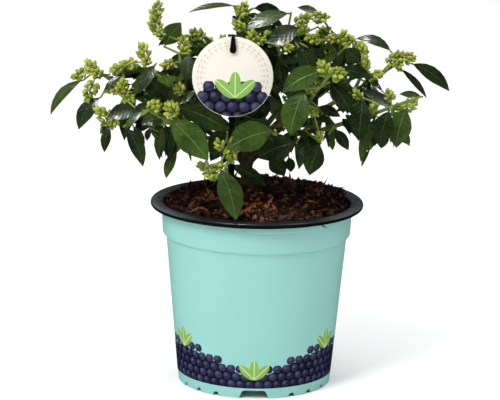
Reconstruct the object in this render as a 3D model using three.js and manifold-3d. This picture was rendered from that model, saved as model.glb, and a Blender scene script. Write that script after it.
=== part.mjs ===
// A blueberry bush in a round nursery pot, with a plain round plant tag on a stick.
// Millimetres, +Z up. The origin is on the pot's axis, at the flat underside that it stands on.
// The front is -Y and the plant's right hand side, seen from the front, is +X.

import Module from 'manifold-3d';
import * as THREE from 'three';
import { mergeVertices } from 'three/addons/utils/BufferGeometryUtils.js';

const wasm = await Module();
wasm.setup();

// ---------- Driving dimensions ----------

const GAP = 0.3; // between pieces that touch
const ROUND = 36; // facets round the pot
const UP = new THREE.Vector3(0, 0, 1);

const POT = {
  footRadius: 61.4,
  bodyTop: { radius: 72.2, height: 119 },
  collar: { radius: 75, bottom: 121.5, topRadius: 76.4 },
  ring: { height: 137.6, step: 0.45 },
  height: 143,
  wall: 1.8,
  floor: { underside: 7.4, thickness: 2 },
  boss: { radius: 14, draft: 1.5 },
  drain: { count: 6, radius: 4, circle: 38 },
  gap: { count: 4, width: 18, height: 6.8, corner: 2.2, flare: 3.2 },
  notch: { width: 3.2, height: 3.3, corner: 1, flare: 1.8 },
  notchAngles: [29, 45, 61],
};

const RIM = { radius: 85, height: 147.5, inner: 74.4, lipDrop: 5.6, liner: 1.3, linerBottom: 126 };

const SOIL = { edge: 141.4, crown: 157.2, lump: 1.5, rings: [64, 50, 34, 16] };

const TAG = { radius: 31, thickness: 1, at: new THREE.Vector3(-20.5, -64, 257.5) };
const TAG_ROOM = { behind: 5, round: 3, climb: 0.22 }; // kept free before the tag, and rising from it
const STICK = { width: 5, thickness: 2.2, bottom: 106, over: 0.6 };
const PEG = { length: 13, top: 2.6, bottom: 5 };

const TRUNK = {
  foot: new THREE.Vector3(-6.5, 2, SOIL.crown + GAP),
  fork: new THREE.Vector3(-9, 3, 180),
  flare: 8.4,
  radius: 5.6,
  forkRadius: 4.2,
};

const BOUGH = { start: 2.8, end: 1.7, sides: 5, steps: 3, bend: 0.45, climb: 0.2, arch: 4 };
const BOUGH_START = [0.55, 0.95]; // where boughs leave the trunk, as shares of its height

const TWIG = { stem: 1.9, shoot: 1.6, tip: 1.1, sides: 3 };

const LEAF = {
  length: [36, 50],
  slim: 0.5,
  thickness: 1.1,
  sunk: 0.006,
  count: 6,
  spacing: 9,
  stations: [0.3, 0.68],
  testStations: [0.15, 0.3, 0.5, 0.68, 0.85, 1],
  tries: 12,
  fold: 0.22,
};

const BUD = { count: 2, radius: 5.2, stretch: 1.3, stand: 3, gap: 2, sides: 3, upright: 0.7 };

const SPACE_GAP = 0.9; // from a mass's foliage to the middle plane between it and its neighbour
const LIMB_GAP = 3.4; // from foliage to a limb's surface
const SOIL_GAP = 4; // from foliage to the soil
const RIM_GAP = { out: 3, over: 2, from: 68 }; // from foliage to the rim, which starts at a radius of `from`
const SHOOT_STATIONS = [0.2, 0.35, 0.5, 0.65, 0.8, 1];
const GOLDEN_ANGLE = 137.5;

// Each bough ends in a mass of foliage. `heart` is the middle of the mass. `aim` is the heading, in degrees
// from +X towards +Y, and the rise of its leading shoot. `reach` is that shoot's length.
const MASSES = {
  left_outer: { heart: [-98, -4, 230], aim: [182, 34], reach: 46, shoots: 3, fan: 62, stem: 48, seed: 20 },
  left_upper: { heart: [-62, -38, 242], aim: [192, 34], reach: 42, shoots: 3, fan: 70, stem: 44, seed: 27 },
  left_lower: { heart: [-64, -54, 217], aim: [205, 30], reach: 34, shoots: 3, fan: 64, stem: 40, seed: 99 },
  left_top: { heart: [-46, 8, 258], aim: [172, 58], reach: 46, shoots: 3, fan: 100, stem: 40, seed: 17 },
  left_back: { heart: [-58, 60, 234], aim: [140, 28], reach: 42, shoots: 3, fan: 60, stem: 46, seed: 83 },
  front_low: { heart: [-6, -50, 217], aim: [236, -8], reach: 32, shoots: 3, fan: 76, stem: 36, seed: 117 },
  front_right: { heart: [34, -58, 234], aim: [315, 44], reach: 40, shoots: 3, fan: 70, stem: 40, seed: 100 },
  middle: { heart: [-12, -8, 232], aim: [270, 66], reach: 28, shoots: 3, fan: 110, stem: 30, seed: 7 },
  top_middle: { heart: [-8, 18, 260], aim: [100, 78], reach: 36, shoots: 4, fan: 90, stem: 40, seed: 49 },
  back: { heart: [2, 80, 240], aim: [92, 28], reach: 42, shoots: 3, fan: 56, stem: 46, seed: 40 },
  right_top: { heart: [44, 14, 254], aim: [40, 64], reach: 40, shoots: 4, fan: 80, stem: 42, seed: 8 },
  right_upper: { heart: [86, -4, 244], aim: [355, 36], reach: 44, shoots: 3, fan: 64, stem: 46, seed: 79 },
  right_outer: { heart: [84, -40, 224], aim: [344, 24], reach: 44, shoots: 3, fan: 58, stem: 46, seed: 121 },
  right_lower: { heart: [36, -37, 211], aim: [318, 2], reach: 34, shoots: 3, fan: 76, stem: 36, seed: 43 },
  right_back: { heart: [68, 60, 236], aim: [38, 28], reach: 42, shoots: 3, fan: 58, stem: 46, seed: 47 },
};

// Leaves that stand out of the crown, each on a twig of its own: the leaf's root and tip, its width as a
// share of its length, and in radians how far it droops on the way and how far it rolls.
const PROUD_LEAVES = {
  left_outer: [
    { root: [-138, -6, 243], tip: [-164, -10, 215], slim: 0.28, droop: 1.0, roll: -1.0 },
    { root: [-124, -14, 231], tip: [-140, -22, 209], slim: 0.36, droop: 0.9, roll: -0.8 },
    { root: [-116, -30, 212], tip: [-120, -36, 191], slim: 0.36, droop: 0.6, roll: -0.4 },
    { root: [-117, -20, 250], tip: [-128, -24, 247], slim: 0.3, droop: 0.3, roll: -0.4 },
    { root: [-106, -24, 250], tip: [-121, -30, 238], slim: 0.28, droop: 0.6, roll: -0.7 },
    { root: [-114, -18, 213], tip: [-127, -24, 203], slim: 0.75, droop: 0.5, roll: -0.7 },
  ],
  left_upper: [
    { root: [-80, -44, 263], tip: [-92, -56, 242], slim: 0.44, droop: 0.6, roll: -0.7 },
    { root: [-89, -30, 249], tip: [-71, -36, 234], slim: 0.6, droop: 0.5, roll: 1.4 },
    { root: [-55, -40, 271], tip: [-56, -48, 251], slim: 0.6, droop: 0.4, roll: 0.2 },
  ],
  left_lower: [
    { root: [-69, -72, 226], tip: [-38, -84, 196], slim: 0.54, droop: 0.7, roll: 1.2 },
    { root: [-104, -46, 214], tip: [-89, -54, 184], slim: 0.36, droop: 0.7, roll: 1.1 },
    { root: [-74, -56, 218], tip: [-76, -60, 191], slim: 0.34, droop: 0.5, roll: -0.2 },
    { root: [-62, -46, 196], tip: [-71, -50, 174], slim: 0.34, droop: 0.7, roll: -0.9 },
    { root: [-89, -60, 229], tip: [-102, -66, 216], slim: 0.36, droop: 0.5, roll: -0.8 },
    { root: [-98, -40, 214], tip: [-89, -46, 196], slim: 0.36, droop: 0.5, roll: 1.3 },
    { root: [-73, -50, 219], tip: [-69, -52, 189], slim: 0.34, droop: 0.4, roll: 1.4 },
  ],
  left_top: [
    { root: [-65, 6, 275], tip: [-80, 0, 270], slim: 0.32, droop: 0.8, roll: -0.9 },
    { root: [-77, -4, 274], tip: [-58, -8, 279], slim: 0.72, droop: 0.7, roll: 1.9 },
  ],
  front_low: [
    { root: [-26, -72, 187], tip: [-14, -82, 151], slim: 0.5, droop: 0.5, roll: 0.8 },
    { root: [10, -68, 216], tip: [-23, -80, 207], slim: 0.46, droop: 0.6, roll: -1.2 },
    { root: [-23, -43, 184], tip: [7, -50, 169], slim: 0.32, droop: 0.6, roll: 1.4 },
  ],
  front_right: [
    { root: [35, -80, 252], tip: [24, -92, 218], slim: 0.54, droop: 0.6, roll: -0.6 },
    { root: [50, -78, 266], tip: [18, -84, 250], slim: 0.48, droop: 0.7, roll: -1.2 },
  ],
  top_middle: [
    { root: [-6, 6, 300], tip: [17, 4, 296], slim: 0.42, droop: 0.8, roll: 1.8 },
  ],
  right_top: [
    { root: [47, 4, 297], tip: [29, 2, 302], slim: 0.34, droop: 0.5, roll: -1.0 },
    { root: [37, -18, 274], tip: [49, -24, 259], slim: 0.7, droop: 0.4, roll: 1.3 },
  ],
  right_upper: [
    { root: [118, -14, 262], tip: [149, -18, 241], slim: 0.27, droop: 0.7, roll: 1.5 },
    { root: [110, -8, 257], tip: [132, -12, 234], slim: 0.16, droop: 0.5, roll: 1.7 },
    { root: [104, 0, 268], tip: [76, 8, 277], slim: 0.24, droop: 1.1, roll: -1.0 },
    { root: [128, -16, 236], tip: [110, -18, 238], slim: 0.34, droop: 0.3, roll: -1.1 },
  ],
  right_outer: [
    { root: [80, -64, 243], tip: [77, -74, 212], slim: 0.54, droop: 0.6, roll: -0.3 },
    { root: [115, -46, 233], tip: [107, -52, 202], slim: 0.52, droop: 0.6, roll: -0.9 },
    { root: [101, -56, 233], tip: [94, -62, 204], slim: 0.54, droop: 0.6, roll: -0.8 },
    { root: [91, -40, 224], tip: [80, -46, 189], slim: 0.26, droop: 0.5, roll: -0.8 },
    { root: [88, -36, 198], tip: [81, -38, 183], slim: 0.22, droop: 0.5, roll: -0.8 },
  ],
  right_lower: [
    { root: [48, -58, 206], tip: [40, -66, 182], slim: 0.62, droop: 0.5, roll: -0.8 },
    { root: [55, -40, 210], tip: [58, -42, 197], slim: 0.45, droop: 0.4, roll: 1.2 },
    { root: [24, -30, 189], tip: [26, -32, 177], slim: 0.65, droop: 0.4, roll: 1.1 },
    { root: [13, -20, 189], tip: [21, -24, 172], slim: 0.5, droop: 0.4, roll: 1.4 },
  ],
};

// Bud clusters that stand out: the middle of each and its size.
const CLUSTERS = [
  [-133, -10, 253, 1], [-112, -18, 252, 1], [-103, -22, 257, 1], [-116, -24, 237, 0.9],
  [-107, -28, 241, 1], [-91, -24, 270, 1], [-88, -28, 262, 0.9], [-81, 2, 299, 0.9], [-83, 0, 290, 1],
  [-58, -12, 266, 1], [-82, -64, 231, 1.1], [-67, -68, 231, 1.2], [-45, -66, 185, 1],
  [-13, 2, 301, 1.1], [-18, -6, 288, 1], [36, 0, 293, 1.1], [49, 2, 293, 1.1], [39, -16, 279, 1],
  [55, -8, 278, 0.9], [65, -6, 281, 1], [58, -80, 262, 1.2], [79, -8, 273, 1], [91, -22, 253, 0.9],
  [108, -6, 265, 1.1], [118, -4, 263, 1], [109, -12, 258, 1.1], [109, -40, 226, 1],
];

// The crown's outline as seen from the front and a little above: how far across and how far up its upper and
// lower edges lie, from left to right, and where one sees through it, with a radius.
const FRONT = { tilt: 12.8, middle: -5.6, height: 146.7, distance: 2000 };
const CROWN_TOP = [
  [-141, 223], [-135, 239], [-122, 251], [-100, 258], [-87, 253], [-79, 252], [-70, 260], [-61, 274],
  [-53, 282], [-25, 283], [-22, 304], [-7, 306], [-2, 301], [22, 299], [30, 290], [56, 289], [68, 284],
  [79, 276], [90, 265], [98, 244], [110, 232], [125, 231], [132, 223],
];
const CROWN_FOOT = [
  [-141, 223], [-130, 203], [-123, 189], [-117, 194], [-109, 187], [-96, 180], [-86, 199], [-78, 180],
  [-65, 177], [-57, 185], [-51, 166], [-25, 164], [-9, 175], [4, 167], [24, 167], [28, 174], [39, 165],
  [52, 164], [58, 189], [70, 189], [76, 197], [85, 188], [98, 190], [122, 192], [126, 215], [132, 221],
];
const OPENINGS = [
  [-124, 240, 6], [-113, 228, 4], [-94, 224, 4], [-77, 263, 6], [95, 262, 10], [103, 245, 6],
  [53, 230, 5], [62, 228, 3], [78, 245, 4], [18, 268, 3], [42, 286, 4], [116, 241, 6], [60, 181, 6],
  [-88, 186, 4], [70, 182, 6],
];

const COLOURS = {
  pot: new THREE.MeshStandardMaterial({ color: '#a3e0d6', roughness: 0.42, metalness: 0 }),
  rim: new THREE.MeshStandardMaterial({ color: '#26272c', roughness: 0.35, metalness: 0 }),
  soil: new THREE.MeshStandardMaterial({ color: '#3b261c', roughness: 0.95, metalness: 0 }),
  tag: new THREE.MeshStandardMaterial({ color: '#f2ecd9', roughness: 0.5, metalness: 0 }),
  stick: new THREE.MeshStandardMaterial({ color: '#1c1c1f', roughness: 0.4, metalness: 0 }),
  bark: new THREE.MeshStandardMaterial({ color: '#6a5236', roughness: 0.85, metalness: 0 }),
  foliage: new THREE.MeshStandardMaterial({ color: '#3f6a35', roughness: 0.4, metalness: 0 }),
};

// ---------- Small tools ----------

const radians = THREE.MathUtils.degToRad;
const point = (xyz) => new THREE.Vector3(...xyz);

/** The n-th draw of a seed, between low and high, the same on every run. */
function draw(seed, n, low, high) {
  const wave = Math.sin(seed * 12.9898 + n * 78.233) * 43758.5453;
  return low + (high - low) * (wave - Math.floor(wave));
}

/** A unit vector from a heading and a rise, both in degrees. */
function toward(heading, rise) {
  const [a, e] = [radians(heading), radians(rise)];
  return new THREE.Vector3(Math.cos(a) * Math.cos(e), Math.sin(a) * Math.cos(e), Math.sin(e));
}

/** Two unit vectors square to a direction: one level, and one that completes a right-handed set. */
function squareTo(direction) {
  const level = Math.abs(direction.z) > 0.98 ? new THREE.Vector3(1, 0, 0) : UP;
  const across = new THREE.Vector3().crossVectors(direction, level).normalize();
  return [across, new THREE.Vector3().crossVectors(direction, across)];
}

/** Points round a centre, anticlockwise for an eye that the direction points at. */
function ringOf(centre, direction, radius, sides) {
  const [across, over] = squareTo(direction);
  return Array.from({ length: sides }, (_, k) => {
    const turn = (2 * Math.PI * k) / sides;
    const out = across.clone().multiplyScalar(Math.cos(turn) * radius);
    return centre.clone().add(out).addScaledVector(over, Math.sin(turn) * radius);
  });
}

/** A closed solid through rings of points, each anticlockwise seen from the far end. One point is a tip. */
function loft(rings) {
  const points = rings.flat();
  const faces = [];
  let first = 0;
  rings.slice(0, -1).forEach((ring, k) => {
    const [here, next] = [ring.length, rings[k + 1].length];
    const second = first + here;
    for (let i = 0; i < Math.max(here, next); i += 1) {
      const [a, b] = [first + (i % here), first + ((i + 1) % here)];
      const [c, d] = [second + (i % next), second + ((i + 1) % next)];
      if (here > 1) faces.push([a, b, d]);
      if (next > 1) faces.push([a, d, c]);
    }
    first = second;
  });
  for (let i = 1; i + 1 < rings[0].length; i += 1) faces.push([0, i + 1, i]);
  for (let i = 1; i + 1 < rings.at(-1).length; i += 1) faces.push([first, first + i, first + i + 1]);
  return new wasm.Manifold(new wasm.Mesh({
    numProp: 3,
    vertProperties: new Float32Array(points.flatMap((p) => p.toArray())),
    triVerts: new Uint32Array(faces.flat()),
  }));
}

/** A three.js geometry as a solid to cut and join. */
function solidOf(geometry) {
  geometry.deleteAttribute('normal');
  geometry.deleteAttribute('uv');
  const merged = mergeVertices(geometry, 1e-4);
  const corners = merged.index.array;
  const faces = [];
  for (let k = 0; k < corners.length; k += 3) {
    const [a, b, c] = corners.slice(k, k + 3);
    if (a !== b && b !== c && c !== a) faces.push(a, b, c);
  }
  return new wasm.Manifold(new wasm.Mesh({
    numProp: 3,
    vertProperties: new Float32Array(merged.attributes.position.array),
    triVerts: new Uint32Array(faces),
  }));
}

/** A profile of [radius, height] points turned round the Z axis. */
function turned(profile) {
  const lathe = new THREE.LatheGeometry(profile.map(([r, z]) => new THREE.Vector2(r, z)), ROUND);
  return solidOf(lathe.rotateX(Math.PI / 2));
}

/** The largest body of a solid, without loose scraps and without sealed hollows. */
function oneBody(solid) {
  const largest = (all) => all.decompose().reduce((most, one) => (one.volume() > most.volume() ? one : most));
  return largest(new wasm.Manifold(largest(solid).getMesh()));
}

/** A named mesh from a solid. */
function piece(name, solid, material) {
  const { vertProperties, triVerts } = solid.getMesh();
  const geometry = new THREE.BufferGeometry();
  geometry.setAttribute('position', new THREE.BufferAttribute(new Float32Array(vertProperties), 3));
  geometry.setIndex(new THREE.BufferAttribute(new Uint32Array(triVerts), 1));
  geometry.computeVertexNormals();
  const mesh = new THREE.Mesh(geometry, material);
  mesh.name = name;
  return mesh;
}

// ---------- Pot, rim and soil ----------

function potWall() {
  const { footRadius, bodyTop, collar, ring, height, wall, floor, boss } = POT;
  const slope = (bodyTop.radius - footRadius) / bodyTop.height;
  const floorTop = floor.underside + floor.thickness;
  return turned([
    [0, 0],
    [boss.radius, 0],
    [boss.radius + boss.draft, floor.underside],
    [footRadius - wall, floor.underside],
    [footRadius - wall, 0],
    [footRadius, 0],
    [bodyTop.radius, bodyTop.height],
    [collar.radius, collar.bottom],
    [collar.topRadius - ring.step, ring.height],
    [collar.topRadius, ring.height + ring.step],
    [collar.topRadius, height],
    [collar.topRadius - wall, height],
    [collar.radius - wall, collar.bottom + wall],
    [bodyTop.radius - wall, bodyTop.height + wall / 2],
    [footRadius - wall + slope * floorTop, floorTop],
    [0, floorTop],
  ]);
}

/** A cutter for the foot ring, wider below and with round upper corners, as a bar that runs out along +X. */
function footCutter({ width, height, corner, flare }) {
  const half = width / 2;
  const outline = new THREE.Shape();
  outline.moveTo(-half - flare, -1);
  outline.lineTo(half + flare, -1);
  outline.lineTo(half, height - corner);
  outline.absarc(half - corner, height - corner, corner, 0, Math.PI / 2);
  outline.absarc(corner - half, height - corner, corner, Math.PI / 2, Math.PI);
  const bar = new THREE.ExtrudeGeometry(outline, { depth: 14, bevelEnabled: false, curveSegments: 2 });
  return solidOf(bar.rotateX(Math.PI / 2).rotateZ(Math.PI / 2).translate(POT.footRadius - 8, 0, 0));
}

function drainHole() {
  const { radius, circle } = POT.drain;
  const bar = new THREE.CylinderGeometry(radius, radius, 20, 10);
  return solidOf(bar.rotateX(Math.PI / 2).translate(circle, 0, POT.floor.underside));
}

function pot() {
  const quarter = 360 / POT.gap.count;
  let body = potWall();
  for (let k = 0; k < POT.gap.count; k += 1) {
    body = body.subtract(footCutter(POT.gap).rotate([0, 0, k * quarter]));
    POT.notchAngles.forEach((angle) => {
      body = body.subtract(footCutter(POT.notch).rotate([0, 0, k * quarter + angle]));
    });
  }
  for (let k = 0; k < POT.drain.count; k += 1) {
    body = body.subtract(drainHole().rotate([0, 0, ((k + 0.5) * 360) / POT.drain.count]));
  }
  return piece('pot', oneBody(body), COLOURS.pot);
}

/** The radius of the inside of the rim's liner at a height. */
const linerInside = (z) => RIM.inner - RIM.liner - 0.075 * (POT.height - z);

function rim() {
  const { radius, height, inner, lipDrop, liner, linerBottom } = RIM;
  const seat = POT.height + GAP;
  const wallTop = linerInside(seat) + liner;
  const profile = [
    [linerInside(linerBottom) + liner, linerBottom],
    [wallTop, seat],
    [radius - 3.4, seat],
    [radius - 3, height - lipDrop],
    [radius - 0.8, height - lipDrop],
    [radius, height - lipDrop + 1.6],
    [radius - 0.4, height - 1.2],
    [radius - 3, height],
    [radius - 7.5, height - 0.4],
    [inner + 0.4, height - 2],
    [linerInside(seat), seat - 0.4],
    [linerInside(linerBottom), linerBottom],
  ];
  return piece('pot_rim', turned([...profile, profile[0]]), COLOURS.rim);
}

/** How high the soil's surface lies at a distance from the pot's axis. */
function soilHeight(radius) {
  const share = Math.min(1, radius / linerInside(SOIL.edge));
  return SOIL.edge + (SOIL.crown - SOIL.edge) * (1 - share ** 2.4);
}

function soil() {
  const { floor, footRadius, bodyTop, wall } = POT;
  const bottom = floor.underside + floor.thickness + GAP;
  const flatRing = (radius, z) => ringOf(new THREE.Vector3(0, 0, z), UP, radius, ROUND);
  const lumpy = (radius, k) => flatRing(radius, soilHeight(radius)).map((p, i) => {
    p.z += draw(k * ROUND + i, 5, -SOIL.lump, SOIL.lump);
    return p;
  });
  const body = loft([
    flatRing(footRadius - wall - GAP, bottom),
    flatRing(bodyTop.radius - wall - 2 * GAP, bodyTop.height),
    flatRing(linerInside(RIM.linerBottom) - 2 * GAP, RIM.linerBottom),
    flatRing(linerInside(SOIL.edge) - 2 * GAP, SOIL.edge),
    ...SOIL.rings.map(lumpy),
    [new THREE.Vector3(0, 0, SOIL.crown)],
  ]);
  const seat = new THREE.CylinderGeometry(TRUNK.flare + 2, TRUNK.flare + 2, 40, 16).rotateX(Math.PI / 2);
  const { x, y, z } = TRUNK.foot;
  const slot = new THREE.BoxGeometry(STICK.width + 2 * GAP, STICK.thickness + 2 * GAP, 120);
  slot.translate(TAG.at.x, stickLine(), STICK.bottom - GAP + 60);
  const cut = body.subtract(solidOf(seat.translate(x, y, z - GAP + 20))).subtract(solidOf(slot));
  return piece('soil', oneBody(cut), COLOURS.soil);
}

// ---------- Plant tag on its stick ----------

function tag() {
  const disc = new THREE.CylinderGeometry(TAG.radius, TAG.radius, TAG.thickness, 40);
  return piece('plant_tag', solidOf(disc.translate(TAG.at.x, TAG.at.y, TAG.at.z)), COLOURS.tag);
}

/** The Y of the middle of the stick, which stands behind the tag. */
const stickLine = () => TAG.at.y + TAG.thickness / 2 + GAP + STICK.thickness / 2;

/** A level four-cornered ring for the stick, anticlockwise from above. */
function stickRing(width, y, depth, z) {
  const [left, right] = [TAG.at.x - width / 2, TAG.at.x + width / 2];
  const [front, rear] = [y - depth / 2, y + depth / 2];
  return [[left, front], [right, front], [right, rear], [left, rear]].map((p) => new THREE.Vector3(...p, z));
}

function stick() {
  const { width, thickness, bottom, over } = STICK;
  const top = TAG.at.z + TAG.radius + over;
  const pegLine = TAG.at.y - TAG.thickness / 2 - GAP - thickness / 2;
  const shaft = loft([
    [new THREE.Vector3(TAG.at.x, stickLine(), bottom)],
    stickRing(width, stickLine(), thickness, bottom + 14),
    stickRing(width, stickLine(), thickness, top),
  ]);
  const clip = loft([
    stickRing(PEG.bottom * 0.7, pegLine, thickness, top - PEG.length),
    stickRing(PEG.bottom, pegLine, thickness, top - PEG.length + 2),
    stickRing(PEG.top, pegLine, thickness, top - 1),
    stickRing(PEG.top, pegLine, thickness, top),
  ]);
  const bridge = loft([
    stickRing(PEG.top, TAG.at.y, thickness * 2 + TAG.thickness, top - over + GAP),
    stickRing(PEG.top, TAG.at.y, thickness * 2 + TAG.thickness, top),
  ]);
  return piece('tag_stick', shaft.add(clip).add(bridge), COLOURS.stick);
}

// ---------- Trunk and boughs ----------

/** A limb as rings along its line: { centre, direction, radius }. */
function limbSolid(line, sides, swell = 0) {
  return loft(line.map(({ centre, direction, radius }) => ringOf(centre, direction, radius + swell, sides)));
}

function trunkLine() {
  const { foot, fork, flare, radius, forkRadius } = TRUNK;
  const at = (t) => foot.clone().lerp(fork, t);
  const steps = [[0, flare], [0.12, radius * 1.16], [0.35, radius], [0.75, radius * 0.86], [1, forkRadius]];
  return steps.map(([t, r]) => ({ centre: at(t), direction: UP, radius: r }));
}

/** A bough's line: it climbs out of the trunk and arches over to the start of its mass's stem. */
function boughLine(mass, order) {
  const heart = point(mass.heart);
  const start = TRUNK.foot.clone().lerp(TRUNK.fork, draw(order, 1, ...BOUGH_START));
  const end = heart.clone().addScaledVector(heart.clone().sub(start).normalize(), -mass.stem);
  end.z += BOUGH.arch;
  const bend = start.clone().lerp(end, BOUGH.bend);
  bend.z += BOUGH.climb * (heart.z - start.z) + BOUGH.arch;
  const curve = new THREE.QuadraticBezierCurve3(start, bend, end);
  return Array.from({ length: BOUGH.steps + 1 }, (_, k) => {
    const t = k / BOUGH.steps;
    const radius = THREE.MathUtils.lerp(BOUGH.start, BOUGH.end, t);
    return { centre: curve.getPoint(t), direction: curve.getTangent(t), radius };
  });
}

const names = Object.keys(MASSES);
const boughLines = names.map((name, k) => boughLine(MASSES[name], k));

function trunkAndBoughs() {
  const trunk = limbSolid(trunkLine(), 10);
  const meshes = [piece('trunk', trunk, COLOURS.bark)];
  let taken = limbSolid(trunkLine(), 10, GAP);
  boughLines.forEach((line, k) => {
    const bough = oneBody(limbSolid(line, BOUGH.sides).subtract(taken));
    taken = taken.add(limbSolid(line, BOUGH.sides, GAP));
    meshes.push(piece(`bough_${names[k]}`, bough, COLOURS.bark));
  });
  return meshes;
}

// ---------- Foliage ----------

const hearts = names.map((name) => point(MASSES[name].heart));

/** Everything that foliage keeps clear of, as stretches of round bar; a mass's own stem is marked with it. */
const limbs = [trunkLine(), ...boughLines].flatMap((line) => line.slice(1).map((end, k) => (
  { from: line[k].centre, to: end.centre, radius: Math.max(line[k].radius, end.radius) }
)));
limbs.push({
  from: new THREE.Vector3(TAG.at.x, stickLine(), STICK.bottom),
  to: new THREE.Vector3(TAG.at.x, stickLine(), TAG.at.z),
  radius: STICK.width / 2 + GAP,
});
names.forEach((_, mass) => limbs.push({ from: stemOf(mass).start, to: hearts[mass], radius: TWIG.stem, mass }));

/** Whether a point of a mass keeps to the mass's own space and clear of limbs, tag, soil and rim. */
function fits(p, own, limbGap = LIMB_GAP) {
  const mine = hearts[own];
  const inSpace = hearts.every((other, k) => {
    if (k === own) return true;
    const toPlane = (p.distanceToSquared(other) - p.distanceToSquared(mine)) / (2 * mine.distanceTo(other));
    return toPlane > SPACE_GAP;
  });
  if (!inSpace) return false;
  const out = Math.hypot(p.x, p.y);
  const overRim = out > RIM_GAP.from ? RIM.height + RIM_GAP.over : 0;
  if (out < RIM.radius + RIM_GAP.out && p.z < Math.max(soilHeight(out) + SOIL_GAP, overRim)) return false;
  const beforeTag = p.y < TAG.at.y + TAG_ROOM.behind;
  const rise = p.z + TAG_ROOM.climb * (p.y - TAG.at.y) - TAG.at.z;
  if (beforeTag && Math.hypot(p.x - TAG.at.x, rise) < TAG.radius + TAG_ROOM.round) return false;
  return limbs.every(({ from, to, radius, mass }) => {
    if (mass === own) return true;
    const run = to.clone().sub(from);
    const t = THREE.MathUtils.clamp(p.clone().sub(from).dot(run) / run.lengthSq(), 0, 1);
    return p.distanceTo(from.clone().addScaledVector(run, t)) > radius + limbGap;
  });
}

/** Half the width of a leaf of width 1, at a share of its length. */
const leafOutline = (t) => 0.5 * Math.sin(Math.PI * t ** 0.9) ** 0.8;

/** A leaf's midrib point and its two edge directions at a share of its length. */
function leafStation(leaf, t) {
  const { root, heading, rise, length, droop, roll, fold } = leaf;
  const now = rise - droop * t;
  const [level, height] = [Math.sin(rise) - Math.sin(now), Math.cos(now) - Math.cos(rise)];
  const ahead = new THREE.Vector3(Math.cos(heading), Math.sin(heading), 0);
  const rib = root.clone().addScaledVector(ahead, (length * level) / droop);
  rib.z += (length * height) / droop;
  const along = ahead.clone().multiplyScalar(Math.cos(now)).addScaledVector(UP, Math.sin(now));
  const flat = new THREE.Vector3(ahead.y, -ahead.x, 0);
  const across = flat.clone().applyAxisAngle(along, roll);
  const normal = new THREE.Vector3().crossVectors(across, along);
  const side = (sign) => (
    across.clone().multiplyScalar(sign * Math.cos(fold)).addScaledVector(normal, Math.sin(fold))
  );
  return { rib, normal, right: side(1), left: side(-1), half: leaf.width * leafOutline(t) };
}

function leafSolid(leaf) {
  const rings = LEAF.stations.map((t) => {
    const { rib, normal, right, left, half } = leafStation(leaf, t);
    return [
      rib.clone().addScaledVector(right, half),
      rib.clone().addScaledVector(normal, -LEAF.thickness / 2),
      rib.clone().addScaledVector(left, half),
      rib.clone().addScaledVector(normal, LEAF.thickness / 2),
    ];
  });
  return loft([[leafStation(leaf, -LEAF.sunk).rib], ...rings, [leafStation(leaf, 1).rib]]);
}

/** The points of a leaf that are tested for room. */
function leafPoints(leaf) {
  return LEAF.testStations.flatMap((t) => {
    const { rib, right, left, half } = leafStation(leaf, t);
    return [rib, rib.clone().addScaledVector(right, half), rib.clone().addScaledVector(left, half)];
  });
}

/** A shoot's point at a share of its length. */
const shootPoint = ({ start, direction, length }, t) => start.clone().addScaledVector(direction, length * t);

function shootSolid(shoot) {
  const ring = (t, radius) => ringOf(shootPoint(shoot, t), shoot.direction, radius, TWIG.sides);
  return loft([ring(0, TWIG.shoot), ring(1, TWIG.tip)]);
}

/** The stem of a mass, from the bough's tip to the heart. */
function stemOf(own) {
  const { centre, direction } = boughLines[own].at(-1);
  const start = centre.clone().addScaledVector(direction, GAP);
  const run = hearts[own].clone().sub(start);
  const seed = MASSES[names[own]].seed + 0.7;
  return { start, lead: direction, direction: run.clone().normalize(), length: run.length(), seed };
}

/** The shoots of a mass: one leads on from the stem, and the others fan out from along it. */
function shootsOf(own) {
  const mass = MASSES[names[own]];
  const stem = stemOf(own);
  const shoots = [];
  for (let j = 0; j < mass.shoots; j += 1) {
    const side = j === 0 ? 0 : (j % 2 ? 1 : -1) * Math.ceil(j / 2);
    for (let trial = 0; trial < LEAF.tries; trial += 1) {
      const seed = mass.seed + 17 * j + 5 * trial;
      const start = shootPoint(stem, j === 0 ? 1 : draw(seed, 1, 0.55, 0.95));
      const sway = trial * 7;
      const heading = mass.aim[0] + mass.fan * side + draw(seed, 2, -6 - sway, 6 + sway);
      const rise = mass.aim[1] * (j === 0 ? 1 : 0.6) + (j === 0 ? 0 : draw(seed, 3, -10 - sway, 24 + sway));
      const length = mass.reach * (j === 0 ? 1 : draw(seed, 4, 0.75, 1.05));
      const shoot = { start, direction: toward(heading, rise), length, seed };
      const room = SHOOT_STATIONS.every((t) => fits(shootPoint(shoot, t), own, TWIG.shoot));
      if (room) {
        shoots.push(shoot);
        break;
      }
    }
  }
  return shoots;
}

/** Whether the stretch from a to b goes through a triangle. */
function pierces([a, b], [p, q, r]) {
  const [first, second] = [q.clone().sub(p), r.clone().sub(p)];
  const run = b.clone().sub(a);
  const h = run.clone().cross(second);
  const scale = first.dot(h);
  const from = a.clone().sub(p);
  const u = from.dot(h) / scale;
  const k = from.cross(first);
  const v = run.dot(k) / scale;
  const t = second.dot(k) / scale;
  return u >= 0 && v >= 0 && u + v <= 1 && t >= 0 && t <= 1;
}

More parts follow.
